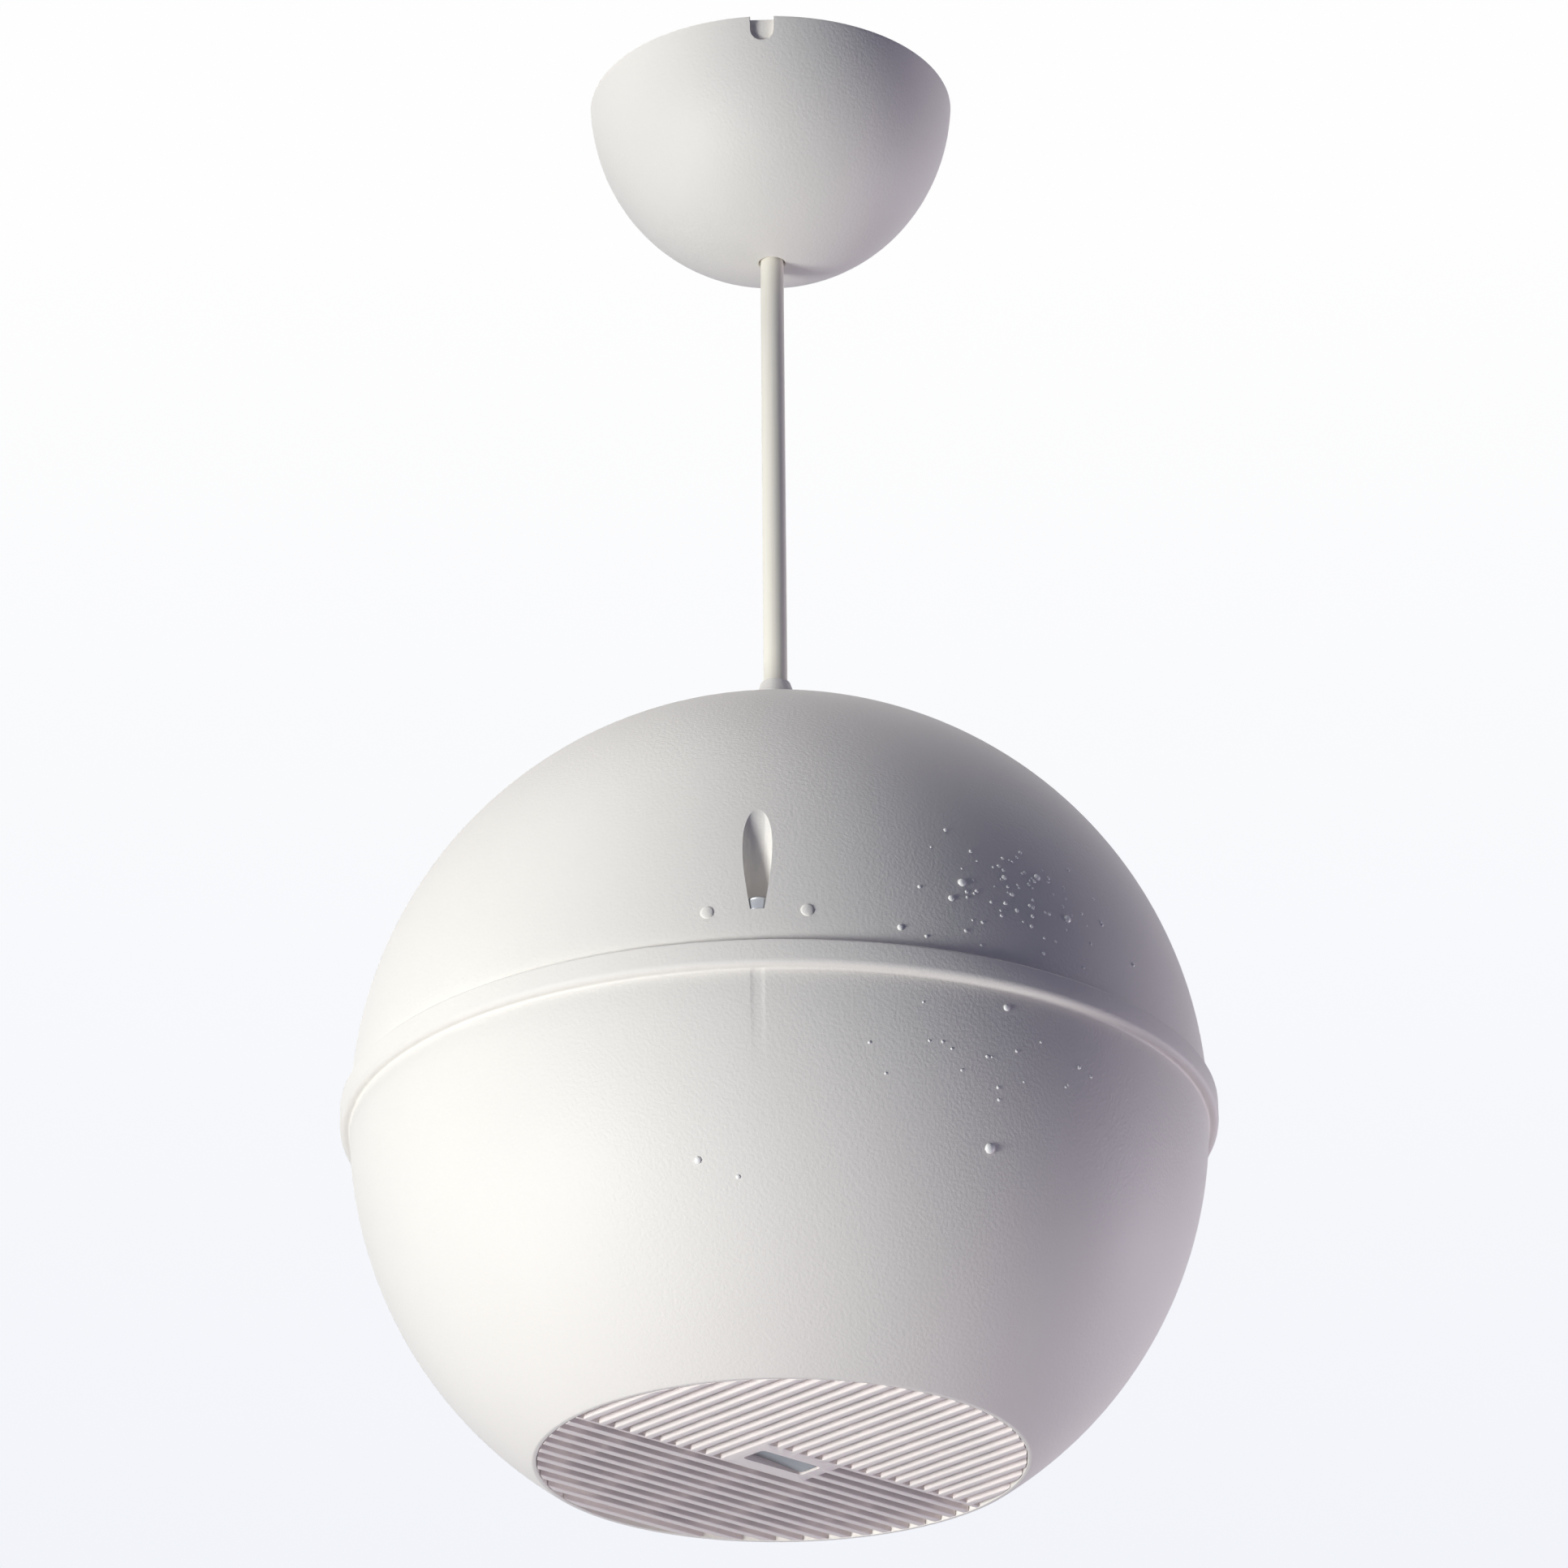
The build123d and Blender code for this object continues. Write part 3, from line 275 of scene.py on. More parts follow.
# %% [markdown]
# ## Sizes
# The radii and walls are the CAD part's own driving sizes. The heights come from the
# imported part, so that each moulding lands where its CAD solid is. Only the wells stand 0.4 mm
# further out than there, because the photo's wells end below in a rounder foot.

# %% Sizes
shell_radius = 92 * mm
shell_wall = 3 * mm
inner_radius = shell_radius - shell_wall
centre_gap = 2.4 * mm
seam_gap = 0.3 * mm
pole_flat_radius = 9 * mm
flat_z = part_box("upper_shell")[1].z
upper_rim_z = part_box("upper_shell")[0].z
upper_z = flat_z - math.sqrt(shell_radius ** 2 - pole_flat_radius ** 2)
lower_z = upper_z - centre_gap
seam_z = upper_rim_z - seam_gap
face_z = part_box("front_grille")[0].z
face_radius = 52.4 * mm
lip_land = 0.9 * mm
opening_radius = face_radius - lip_land
grille_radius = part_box("front_grille")[1].x
well_count = 3
well_from_axis = 88.9 * mm
well_radius = 3.05 * mm
well_boss_radius = 5.05 * mm
well_boss_reach = 32 * mm
well_floor_z = upper_z + 8.4 * mm
screw_hole_radius = 1.55 * mm
well_angles = [math.radians(-90 + 360 * k / well_count) for k in range(well_count)]
well_spots = [(well_from_axis * math.cos(angle), well_from_axis * math.sin(angle))
              for angle in well_angles]
print("ball centre heights in mm:", round(upper_z / mm, 2), round(lower_z / mm, 2))

# %% [markdown]
# ## Upper half ball
# One moulding with a 3 mm wall. The outside is turned as a full dome, and the space inside
# is turned as another one and cut away, less the bosses that hold the screws. Then the
# three wells are drilled from above. They leave the ball's side as long slots with a point.

# %% Upper half ball
top_deg = up_angle(flat_z - upper_z, shell_radius)
rim_deg = up_angle(upper_rim_z - upper_z, shell_radius)
upper_rim_round = 0.35 * mm
pole_flat_round = 0.4 * mm
dome_arc = arc(upper_z, shell_radius, rim_deg, top_deg, count=56)
upper_half_ball = turned(
    "upper_half_ball",
    [(0, upper_rim_z)] + dome_arc + [(0, flat_z)],
    corners=[(dome_arc[0], upper_rim_round), (dome_arc[-1], pole_flat_round)], closed=False)

pad_z = upper_z + inner_radius - 2.5 * mm
pad_radius = 13 * mm
gland_hole_radius = 5.1 * mm
chassis_post_radius = 4.5 * mm
chassis_post_end_z = upper_z + 52 * mm
chassis_post_spots = [(-40 * mm, 0), (40 * mm, 0)]
inner_rim_deg = up_angle(upper_rim_z - upper_z, inner_radius)
inner_arc = arc(upper_z, inner_radius, inner_rim_deg, 90, count=40)
upper_space = turned(
    "upper_space",
    [(0, upper_rim_z - overrun), (inner_arc[0][0], upper_rim_z - overrun)] + inner_arc,
    steps=128, closed=False)
for post in (rods(well_boss_radius, upper_rim_z - 3 * overrun, upper_z + well_boss_reach,
                  well_spots),
             rods(chassis_post_radius, chassis_post_end_z, flat_z, chassis_post_spots),
             rods(pad_radius, pad_z, flat_z, [(0, 0)])):
    carve(upper_space, post)
carve(upper_half_ball, upper_space)
carve(upper_half_ball, rods(well_radius, well_floor_z, flat_z, well_spots, sides=72))
carve(upper_half_ball, rods(screw_hole_radius, upper_rim_z - overrun, well_floor_z + overrun,
                            well_spots, sides=24))
carve(upper_half_ball, rods(gland_hole_radius, pad_z - overrun, flat_z + overrun, [(0, 0)]))

# %% [markdown]
# Small round pips stand beside each well, left by the mould's ejector pins. Each is a low
# dome, flattened along the ball's radius.

# %% Pips beside the wells
pip_radius = 1.4 * mm
pip_proud = 0.45 * mm
pip_height = 8 * mm
pip_reach = math.sqrt(shell_radius ** 2 - pip_height ** 2)
pip_from_well = 10.2 * mm
pip_turn = pip_from_well / pip_reach


def bead(radius, proud, angle, height, centre_z, segments=24, rings=12):
    # A low dome on the ball at an angle about the axis and a height over the ball's centre
    reach = math.sqrt(shell_radius ** 2 - height ** 2)
    out = Vector((reach * math.cos(angle), reach * math.sin(angle), height))
    bpy.ops.object.select_all(action="DESELECT")
    bpy.ops.mesh.primitive_uv_sphere_add(
        segments=segments, ring_count=rings, radius=1, scale=(radius, radius, proud),
        location=out + Vector((0, 0, centre_z)),
        rotation=out.to_track_quat("Z", "Y").to_euler())
    return bpy.context.object


pips = [bead(pip_radius, pip_proud, angle + side * pip_turn, pip_height, upper_z)
        for angle in well_angles for side in (-1, 1)]
carve(upper_half_ball, joined(pips), "UNION")
finish_piece(upper_half_ball, "upper_shell", "ball_plastic")

# %% [markdown]
# ## Lower half ball
# The lower moulding carries the raised band at its rim, with a sharp upper edge and a
# rounder lower one, and a spigot that enters the upper half. It ends below in a narrow rim
# round the straight opening for the grille. Inside it has a baffle plate for the driver and
# the bosses for the three screws.

# %% Lower half ball
band_radius = shell_radius + 2.1 * mm
band_low_z = seam_z - 5.6 * mm
band_top_round = 0.6 * mm
band_low_round = 1.3 * mm
band_foot_round = 0.5 * mm
face_edge_round = 0.25 * mm
spigot_height = 4 * mm
spigot_root = 4 * mm
spigot_wall = 2.2 * mm
spigot_gap = 0.1 * mm
lower_arc = arc(lower_z, shell_radius, up_angle(face_z - lower_z, shell_radius),
                up_angle(band_low_z - lower_z, shell_radius), count=56)
spigot_outer = math.sqrt(inner_radius ** 2 - (spigot_height + centre_gap) ** 2) - spigot_gap
spigot_inner = spigot_outer - spigot_wall
spigot_top_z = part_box("lower_shell")[1].z
lower_half_ball = turned(
    "lower_half_ball",
    [(0, face_z)] + lower_arc + [(band_radius, band_low_z), (band_radius, seam_z),
                                (spigot_outer, seam_z), (spigot_outer, spigot_top_z),
                                (0, spigot_top_z)],
    corners=[(lower_arc[0], face_edge_round), (lower_arc[-1], band_foot_round),
             ((band_radius, band_low_z), band_low_round),
             ((band_radius, seam_z), band_top_round)],
    closed=False)

baffle_low_z = face_z + 7.2 * mm
baffle_top_z = baffle_low_z + 3 * mm
baffle_hole_radius = 41 * mm
opening_top_z = lower_z - math.sqrt(inner_radius ** 2 - opening_radius ** 2)
lip_arc = arc(lower_z, inner_radius, up_angle(opening_top_z - lower_z, inner_radius),
              up_angle(baffle_low_z - lower_z, inner_radius), count=6)
wall_arc = arc(lower_z, inner_radius, up_angle(baffle_top_z - lower_z, inner_radius), 0,
               count=30)
spigot_root_z = seam_z - spigot_root
lower_space = turned(
    "lower_space",
    [(0, face_z - overrun), (opening_radius, face_z - overrun)] + lip_arc
    + [(baffle_hole_radius, baffle_low_z), (baffle_hole_radius, baffle_top_z)] + wall_arc
    + [(inner_radius, spigot_root_z), (spigot_inner, spigot_root_z),
       (spigot_inner, spigot_top_z + overrun), (0, spigot_top_z + overrun)],
    closed=False)
well_boss_gap = 0.3 * mm
carve(lower_space, rods(well_boss_radius, lower_z - well_boss_reach, seam_z, well_spots))
carve(lower_half_ball, lower_space)
carve(lower_half_ball, rods(well_boss_radius + well_boss_gap, seam_z, spigot_top_z + overrun,
                            well_spots))

# %% [markdown]
# The opening's lower edge gets a small bevel, because no mould leaves a truly sharp edge.

# %% Soft edge of the opening
opening_edge_round = 0.15 * mm
select_only(lower_half_ball)
bpy.ops.object.mode_set(mode="EDIT")
pick(lower_half_ball, "EDGE",
     lambda e: max(abs(v.co.z - face_z) for v in e.verts) < weld_distance
     and max(math.hypot(v.co.x, v.co.y) for v in e.verts) < opening_radius + same_place)
bpy.ops.mesh.bevel(offset=opening_edge_round, segments=3, affect="EDGES")
bpy.ops.object.mode_set(mode="OBJECT")
finish_piece(lower_half_ball, "lower_shell", "ball_plastic")

# %% [markdown]
# ## Grille
# A flat disc, flush in the ball's opening. Two fields of ribs meet in a step at a plain
# block in the middle: the far ribs run one way and the near ribs across them. One groove
# cutter is modelled with a flared mouth, so that every rib gets rounded edges, and it is
# copied to every place. Behind the grooves, slots go through the disc between cross bars.

# %% Grille sizes
rib_pitch = 4.2 * mm
groove_width = 2.4 * mm
groove_depth = 1.6 * mm
groove_length = 130 * mm
mouth_round = 0.2 * mm
field_step = 6.5 * mm
block_half_length = 11.3 * mm
field_radius = 44.65 * mm
cross_bar_width = 2 * mm
cross_bar_pitch = 4 * rib_pitch
rib_turn = math.radians(45)
rib_count = int(shell_radius / rib_pitch)
grille_thickness = 3.25 * mm
grille_back_z = face_z + grille_thickness


def rib_place(along, across):
    # From the ribs' own directions to the part's frame
    return (along * math.cos(rib_turn) - across * math.sin(rib_turn),
            along * math.sin(rib_turn) + across * math.cos(rib_turn))


# %% Grille disc
ring_wall = 2.4 * mm
ring_inner = grille_radius - ring_wall
ring_top_z = grille_back_z + 1.8 * mm
grille_edge_round = 0.15 * mm
grille_disc = turned(
    "grille_disc",
    [(0, face_z), (grille_radius, face_z), (grille_radius, ring_top_z),
     (ring_inner, ring_top_z), (ring_inner, grille_back_z), (0, grille_back_z)],
    corners=[((grille_radius, face_z), grille_edge_round)], closed=False)
screw_post_radius = 2.35 * mm
screw_post_spots = [(ring_inner, 0), (0, ring_inner), (-ring_inner, 0), (0, -ring_inner)]
carve(grille_disc, rods(screw_post_radius, grille_back_z - overrun, baffle_low_z,
                        screw_post_spots, sides=32), "UNION")

# %% Groove cutter with a flared mouth
groove_cutter = block((groove_length, groove_width, groove_depth - mouth_round),
                      (groove_length / 2, 0, face_z + (groove_depth + mouth_round) / 2))
bpy.ops.object.mode_set(mode="EDIT")
pick(groove_cutter, "FACE", lambda face: face.normal.z < looks_down)
half = groove_width / 2
mouth_steps = [(0.08 * mm, 0.02 * mm), (0.07 * mm, 0.06 * mm), (0.05 * mm, 0.12 * mm),
               (overrun, 0)]
for down, out in mouth_steps:
    bpy.ops.mesh.extrude_region_move(TRANSFORM_OT_translate={"value": (0, 0, -down)})
    bpy.ops.transform.resize(
        value=((groove_length / 2 + out) / (groove_length / 2), (half + out) / half, 1),
        center_override=(groove_length / 2, 0, face_z))
    half += out
bpy.ops.object.mode_set(mode="OBJECT")


def groove_copies(template):
    # One copy of the template for each groove: the near field runs across, the far one along
    made = []
    for step in range(-rib_count, rib_count + 1):
        offset = step * rib_pitch
        near_end = field_step if offset < -block_half_length else -field_step
        made.append((offset, near_end, -math.pi / 2))
        if offset > field_step:
            made.append((-groove_length / 2, offset, 0))
        elif offset > -field_step:
            made.append((block_half_length, offset, 0))
    return joined([placed_copy(template, (*rib_place(along, across), 0), rib_turn + turn)
                   for along, across, turn in made])


# %% [markdown]
# The slots reuse the same groove places with a plain, slightly narrower cutter. It keeps
# only what lies inside the sounding field, less the cross bars of each field of ribs.

# %% Slots through the disc
slot_width = groove_width - 0.2 * mm
slot_height = 8 * mm
bar_length = 100 * mm
bar_height = 30 * mm
slot_cutter = block((groove_length, slot_width, slot_height),
                    (groove_length / 2, 0, face_z + groove_depth))
slots = groove_copies(slot_cutter)
bpy.data.objects.remove(slot_cutter)
carve(slots, rods(field_radius, face_z - bar_height / 2, face_z + bar_height / 2, [(0, 0)],
                  sides=128), "INTERSECT")
far_bars = [(step * cross_bar_pitch, field_step + bar_length / 2, cross_bar_width, bar_length)
            for step in range(-2, 3)]
near_bars = [(0, step * cross_bar_pitch - field_step - cross_bar_width / 2, 2 * bar_length,
              cross_bar_width) for step in (-1, 0)]
for along, across, size_along, size_across in far_bars + near_bars:
    carve(slots, block((size_along, size_across, bar_height),
                       (*rib_place(along, across), face_z), rib_turn))
carve(grille_disc, slots)
carve(grille_disc, groove_copies(groove_cutter))
bpy.data.objects.remove(groove_cutter)

# %% [markdown]
# The block in the middle has a shallow recess for a small plate. In the photo the recess is
# deepest at its left end and runs out at the right, so its floor and the plate both lean
# along their length.

# %% Recess for the plate
badge_length = 15.4 * mm
badge_width = 5.2 * mm
badge_gap = 0.6 * mm
badge_sunk = 0.8 * mm
badge_thickness = 0.8 * mm
badge_corner = 0.6 * mm
badge_edge_round = 0.15 * mm
recess_corner = 0.9 * mm
recess_low_z = face_z - 3 * mm
badge_back_z = face_z + badge_sunk + badge_thickness
badge_lean = math.radians(4.2)
badge_middle_z = face_z + badge_sunk


def leaning_bar(length, width, low, high, corner):
    # A bar with rounded upright edges at the middle of the grille, deeper at its left end
    piece = block((length, width, high - low), (0, 0, (low + high) / 2))
    bpy.ops.object.mode_set(mode="EDIT")
    pick(piece, "EDGE", lambda e: abs(e.verts[0].co.z - e.verts[1].co.z) > (high - low) / 2)
    bpy.ops.mesh.bevel(offset=corner, segments=6, affect="EDGES")
    bpy.ops.mesh.select_all(action="SELECT")
    bpy.ops.transform.rotate(value=-badge_lean, orient_axis="Y",
                             center_override=(0, 0, badge_middle_z))
    bpy.ops.object.mode_set(mode="OBJECT")
    piece.rotation_euler = (0, 0, rib_turn)
    return joined([piece])


carve(grille_disc, leaning_bar(badge_length + 2 * badge_gap, badge_width + 2 * badge_gap,
                               recess_low_z, badge_back_z, recess_corner))
finish_piece(grille_disc, "front_grille", "ball_plastic", smooth_deg=40)

# %% [markdown]
# The plate itself is a plain satin strip with softened edges, bare of any mark.

# %% Plate in the recess
plain_plate = leaning_bar(badge_length, badge_width, badge_middle_z, badge_back_z,
                          badge_corner)
plain_plate.name = "plain_plate"
select_only(plain_plate)
ends = sorted((v.co.x, v.co.z) for v in plain_plate.data.vertices)
print("plate's depth in mm, left and right:", round((ends[0][1] - face_z) / mm, 2),
      round((ends[-1][1] - face_z) / mm, 2))
bpy.ops.object.mode_set(mode="EDIT")
pick(plain_plate, "FACE", lambda face: face.normal.z < looks_down)
bpy.ops.mesh.region_to_loop()
bpy.ops.mesh.bevel(offset=badge_edge_round, segments=3, affect="EDGES")
bpy.ops.object.mode_set(mode="OBJECT")
finish_piece(plain_plate, "badge_plate", "badge_metal")

# %% [markdown]
# ## Ceiling cup
# A thin, nearly elliptical dome whose wall leans in from the rim. The section is drawn with
# its wall and its grommet socket in one outline, the dome as a smooth curve between a handle
# at the rim and one at the pole, and the notch for a surface cable is cut in the rim.

# %% Ceiling cup
cup_radius = 41.65 * mm
cup_depth = 40.6 * mm
cup_wall = 2.2 * mm
cup_lean = 1.5 * mm
cup_fullness = 0.56
cup_floor_z = cup_wall - cup_depth
cup_hole_radius = 2.95 * mm
socket_radius = 5.75 * mm
cup_boss_radius = 8 * mm
cup_boss_top_z = cup_floor_z + 8.4 * mm
cup_rim_round = 0.3 * mm
cup_hole_round = 0.35 * mm


def quarter_dome(radius, pole_z, stop_radius, count):
    # Points of a Bezier curve from the rim down to where it reaches the stop radius
    handles = [(radius, 0), (radius - cup_lean, cup_fullness * pole_z),
               (cup_fullness * radius, pole_z), (0, pole_z)]
    found = []
    for k in range(count + 1):
        t = k / count
        weights = ((1 - t) ** 3, 3 * (1 - t) ** 2 * t, 3 * (1 - t) * t ** 2, t ** 3)
        r = sum(w * h[0] for w, h in zip(weights, handles))
        z = sum(w * h[1] for w, h in zip(weights, handles))
        if r <= stop_radius:
            share = (found[-1][0] - stop_radius) / (found[-1][0] - r)
            return found + [(stop_radius, found[-1][1] + share * (z - found[-1][1]))]
        found.append((r, z))
    return found


outer_dome = quarter_dome(cup_radius, -cup_depth, cup_hole_radius, count=56)
inner_dome = quarter_dome(cup_radius - cup_wall, cup_floor_z, cup_boss_radius, count=48)
cup_moulding = turned(
    "cup_moulding",
    outer_dome
    + [(cup_hole_radius, cup_floor_z), (socket_radius, cup_floor_z),
       (socket_radius, cup_boss_top_z), (cup_boss_radius, cup_boss_top_z)]
    + inner_dome[::-1],
    corners=[((cup_radius, 0), cup_rim_round), ((cup_radius - cup_wall, 0), cup_rim_round),
             (outer_dome[-1], cup_hole_round)])

# %% [markdown]
# The notch for a surface cable is a knock-out: a thin web of plastic still closes it, and is
# broken out when a cable needs it. The cutter is a block with a round foot that stops short
# of the inside. Its outer end is stepped outwards, so that the notch's edge is rounded.

# %% Notch in the rim
notch_width = 5.3 * mm
notch_depth = 5.9 * mm
notch_round = 0.4 * mm
notch_web = 0.4 * mm
notch_floor = cup_radius - cup_wall + notch_web
notch_mouth = cup_radius - notch_round
notch_flat = 0.01 * mm
notch_steps = [(0.16 * mm, 0.03 * mm), (0.13 * mm, 0.08 * mm), (0.08 * mm, 0.12 * mm),
               (0.03 * mm, 0.13 * mm), (2 * overrun, 0)]
notch_cutter = block((notch_width, notch_mouth - notch_floor, 2 * notch_depth),
                     (0, -(notch_floor + notch_mouth) / 2, 0))
bpy.ops.object.mode_set(mode="EDIT")
pick(notch_cutter, "EDGE", lambda e: max(v.co.z for v in e.verts) < 0
     and abs(e.verts[0].co.y - e.verts[1].co.y) > same_place)
bpy.ops.mesh.bevel(offset=notch_width / 2 - notch_flat, segments=10, affect="EDGES")
pick(notch_cutter, "FACE", lambda face: face.normal.y < looks_down)
reach = notch_width / 2
for forward, out in notch_steps:
    bpy.ops.mesh.extrude_region_move(TRANSFORM_OT_translate={"value": (0, -forward, 0)})
    bpy.ops.transform.resize(value=((reach + out) / reach, 1, (reach + out) / reach),
                             center_override=(0, 0, reach - notch_depth))
    reach += out
bpy.ops.object.mode_set(mode="OBJECT")
carve(cup_moulding, notch_cutter)
finish_piece(cup_moulding, "ceiling_cup", "ball_plastic")

# %% [markdown]
# ## Gland
# A cone with a round flange seals the cord where it enters the ball. From below only its
# tip shows, from above its whole cone and flange.

# %% Gland
cord_fit_radius = cord_diameter / 2 + 0.05 * mm
shank_end_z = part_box("cord_gland")[0].z
gland_top_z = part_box("cord_gland")[1].z
shank_radius = 5 * mm
flange_radius = 8.6 * mm
flange_top_z = flat_z + 2.2 * mm
cone_radius = 6.6 * mm
tip_radius = 3.25 * mm
flange_round = 0.5 * mm
cone_foot_round = 0.6 * mm
tip_round = 0.25 * mm
gland_cone = turned(
    "gland_cone",
    [(cord_fit_radius, shank_end_z), (shank_radius, shank_end_z), (shank_radius, flat_z),
     (flange_radius, flat_z), (flange_radius, flange_top_z), (cone_radius, flange_top_z),
     (tip_radius, gland_top_z), (cord_fit_radius, gland_top_z)],
    corners=[((flange_radius, flange_top_z), flange_round),
             ((cone_radius, flange_top_z), cone_foot_round),
             ((tip_radius, gland_top_z), tip_round)], steps=96)
finish_piece(gland_cone, "cord_gland", "ball_plastic")

# %% [markdown]
# ## Screws in the wells
# Zinc-plated pan heads with a cross recess, one at the bottom of each well. One screw is
# turned and its recess cut by two crossed blades, then it is copied.

# %% Screws in the wells
head_radius = 2.7 * mm
head_height = 3 * mm
head_top_z = well_floor_z + head_height
head_round = 1.1 * mm
head_foot_round = 0.2 * mm
thread_radius = 1.5 * mm
screw_tip_radius = 0.6 * mm
screw_tip_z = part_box("shell_screws")[0].z
blade_size = (3.2 * mm, 0.75 * mm, 3.4 * mm)
screw = turned(
    "well_screws",
    [(0, screw_tip_z), (screw_tip_radius, screw_tip_z), (thread_radius, screw_tip_z + 2 * mm),
     (thread_radius, well_floor_z), (head_radius, well_floor_z), (head_radius, head_top_z),
     (0, head_top_z)],
    corners=[((head_radius, head_top_z), head_round),
             ((head_radius, well_floor_z), head_foot_round)],
    steps=48, closed=False)
for turn in (0, math.pi / 2):
    carve(screw, block(blade_size, (0, 0, head_top_z), turn))
well_screws = joined([placed_copy(screw, (x, y, 0)) for x, y in well_spots])
bpy.data.objects.remove(screw)
well_screws.name = "well_screws"
finish_piece(well_screws, "shell_screws", "zinc_steel")

# %% [markdown]
# ## Specks on the skin
# The two half balls carry about a hundred small specks of paint and dust, most of them on
# the right side. Each is a tiny raised bead that breaks the light the way the real ones do.

# %% Specks
speck_random = random.Random(7)
big_specks = [(32.5, -22.2, 1.15), (-8.8, -25.6, 0.8), (-3.3, -28.0, 0.5), (27.3, 11.3, 0.95),
              (43.8, 9.9, 0.85), (39.7, 15.2, 0.75), (18.3, 3.3, 0.7), (32.9, -3.9, 0.75),
              (25.5, 8.6, 0.7), (34.0, 13.6, 0.6), (33.5, 9.5, 0.45), (45.0, -9.0, 0.5)]
speck_proud_share = 0.6
# Middle and spread in degrees, or lowest and highest value, of the small specks
cluster_count = 76
cluster_longitude, cluster_latitude, lowest_in_cluster = (36, 7.5), (12.5, 4.5), 2.5
cluster_radius_mm = (0.22, 0.46)
scatter_count = 18
scatter_longitude, scatter_latitude = (33, 10), (-16, -4)
scatter_radius_mm = (0.2, 0.4)
specks = []


def speck(longitude, latitude, radius):
    # A bead at a longitude from the front and a latitude over the ball's centre plane
    centre_z = upper_z if latitude > 0 else lower_z
    specks.append(bead(radius, radius * speck_proud_share, math.radians(longitude - 90),
                       shell_radius * math.sin(math.radians(latitude)), centre_z,
                       segments=10, rings=6))


for longitude, latitude, radius in big_specks:
    speck(longitude, latitude, radius * mm)
for _ in range(cluster_count):
    speck(speck_random.gauss(*cluster_longitude),
          max(lowest_in_cluster, speck_random.gauss(*cluster_latitude)),
          speck_random.uniform(*cluster_radius_mm) * mm)
for _ in range(scatter_count):
    speck(speck_random.gauss(*scatter_longitude), speck_random.uniform(*scatter_latitude),
          speck_random.uniform(*scatter_radius_mm) * mm)
surface_specks = joined(specks)
surface_specks.name = "surface_specks"
select_only(surface_specks)
bpy.ops.object.shade_smooth()
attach(surface_specks, "root")
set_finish(surface_specks, "ball_plastic")
print("specks:", len(specks))

# %% [markdown]
# ## Finishes
# The photo's plastic is an off-white ABS with a fine spark-eroded grain that softens the
# light. The other finishes are those of any such speaker: zinc, brass, rubber, woven cloth,
# pressed paper. Each is built from nodes in object space, so that it stays on its piece, and
# each pattern's size comes from real millimetres.

# %% Helpers for materials
# The Scale at which a wave texture has one ridge to a unit, and the sockets of a colour mix
one_ridge = math.pi / 10
mix_amount, mix_first, mix_second, mix_result = 0, 6, 7, 2


def to_linear(hex_colour):
    # sRGB hex to linear RGBA
    parts = [int(hex_colour[k:k + 2], 16) / 255 for k in (1, 3, 5)]
    return (*[p / 12.92 if p <= 0.04045 else ((p + 0.055) / 1.055) ** 2.4 for p in parts], 1)


def add_node(material, kind, settings=None, inputs=None):
    # Adds one node with its settings, and sets or links its inputs
    node = material.node_tree.nodes.new(kind)
    for key, value in (settings or {}).items():
        setattr(node, key, value)
    for key, value in (inputs or {}).items():
        if isinstance(value, bpy.types.NodeSocket):
            material.node_tree.links.new(value, node.inputs[key])
        else:
            node.inputs[key].default_value = value
    return node


def new_material(name, metallic=0.0):
    # A material with its own surface node, which gets its colour and roughness later
    material = bpy.data.materials.new(name)
    material.use_nodes = True
    surface = material.node_tree.nodes["Principled BSDF"]
    surface.inputs["Metallic"].default_value = metallic
    return material, surface


def pattern(material, kind, size_mm, values, settings=None, stretch=(1, 1, 1), turn_deg=0):
    # A texture in object space whose unit is the pattern's own size, stretched along each
    # direction and turned about the axis
    space = add_node(material, "ShaderNodeTexCoord")
    laid = add_node(material, "ShaderNodeMapping", {"vector_type": "TEXTURE"}, {
        "Vector": space.outputs["Object"], "Rotation": (0, 0, math.radians(turn_deg)),
        "Scale": [size_mm * mm * times for times in stretch]})
    return add_node(material, kind, settings, {
        "Vector": laid.outputs["Vector"], "Scale": 1.0, **values}).outputs["Fac"]


def worked(material, surface, amount, shades, roughness, depth_mm):
    # One pattern's amount drives the colour, the shine and the relief of a surface
    shade = add_node(material, "ShaderNodeMix", {"data_type": "RGBA"}, {
        mix_amount: amount, mix_first: to_linear(shades[0]),
        mix_second: to_linear(shades[1])})
    shine = add_node(material, "ShaderNodeMapRange", inputs={
        "Value": amount, "To Min": roughness[0], "To Max": roughness[1]})
    relief = add_node(material, "ShaderNodeBump", inputs={
        "Height": amount, "Distance": depth_mm * mm})
    links = material.node_tree.links
    links.new(shade.outputs[mix_result], surface.inputs["Base Color"])
    links.new(shine.outputs["Result"], surface.inputs["Roughness"])
    links.new(relief.outputs["Normal"], surface.inputs["Normal"])
    return shade, relief


# %% [markdown]
# ## Off-white ABS
# The balls, the cup, the grille and the gland are ABS moulded in a spark-eroded tool. The
# tool's grain, about 0.7 mm, scatters the shine so that the ball has no hot spot. Over each
# screw boss the cooling plastic has drawn in a faint upright sink line under the seam. It
# is relief too: the cosine of three times the angle about the axis peaks at the three wells.
# The shade and the shine wander a little over some centimetres, as on any old moulding.

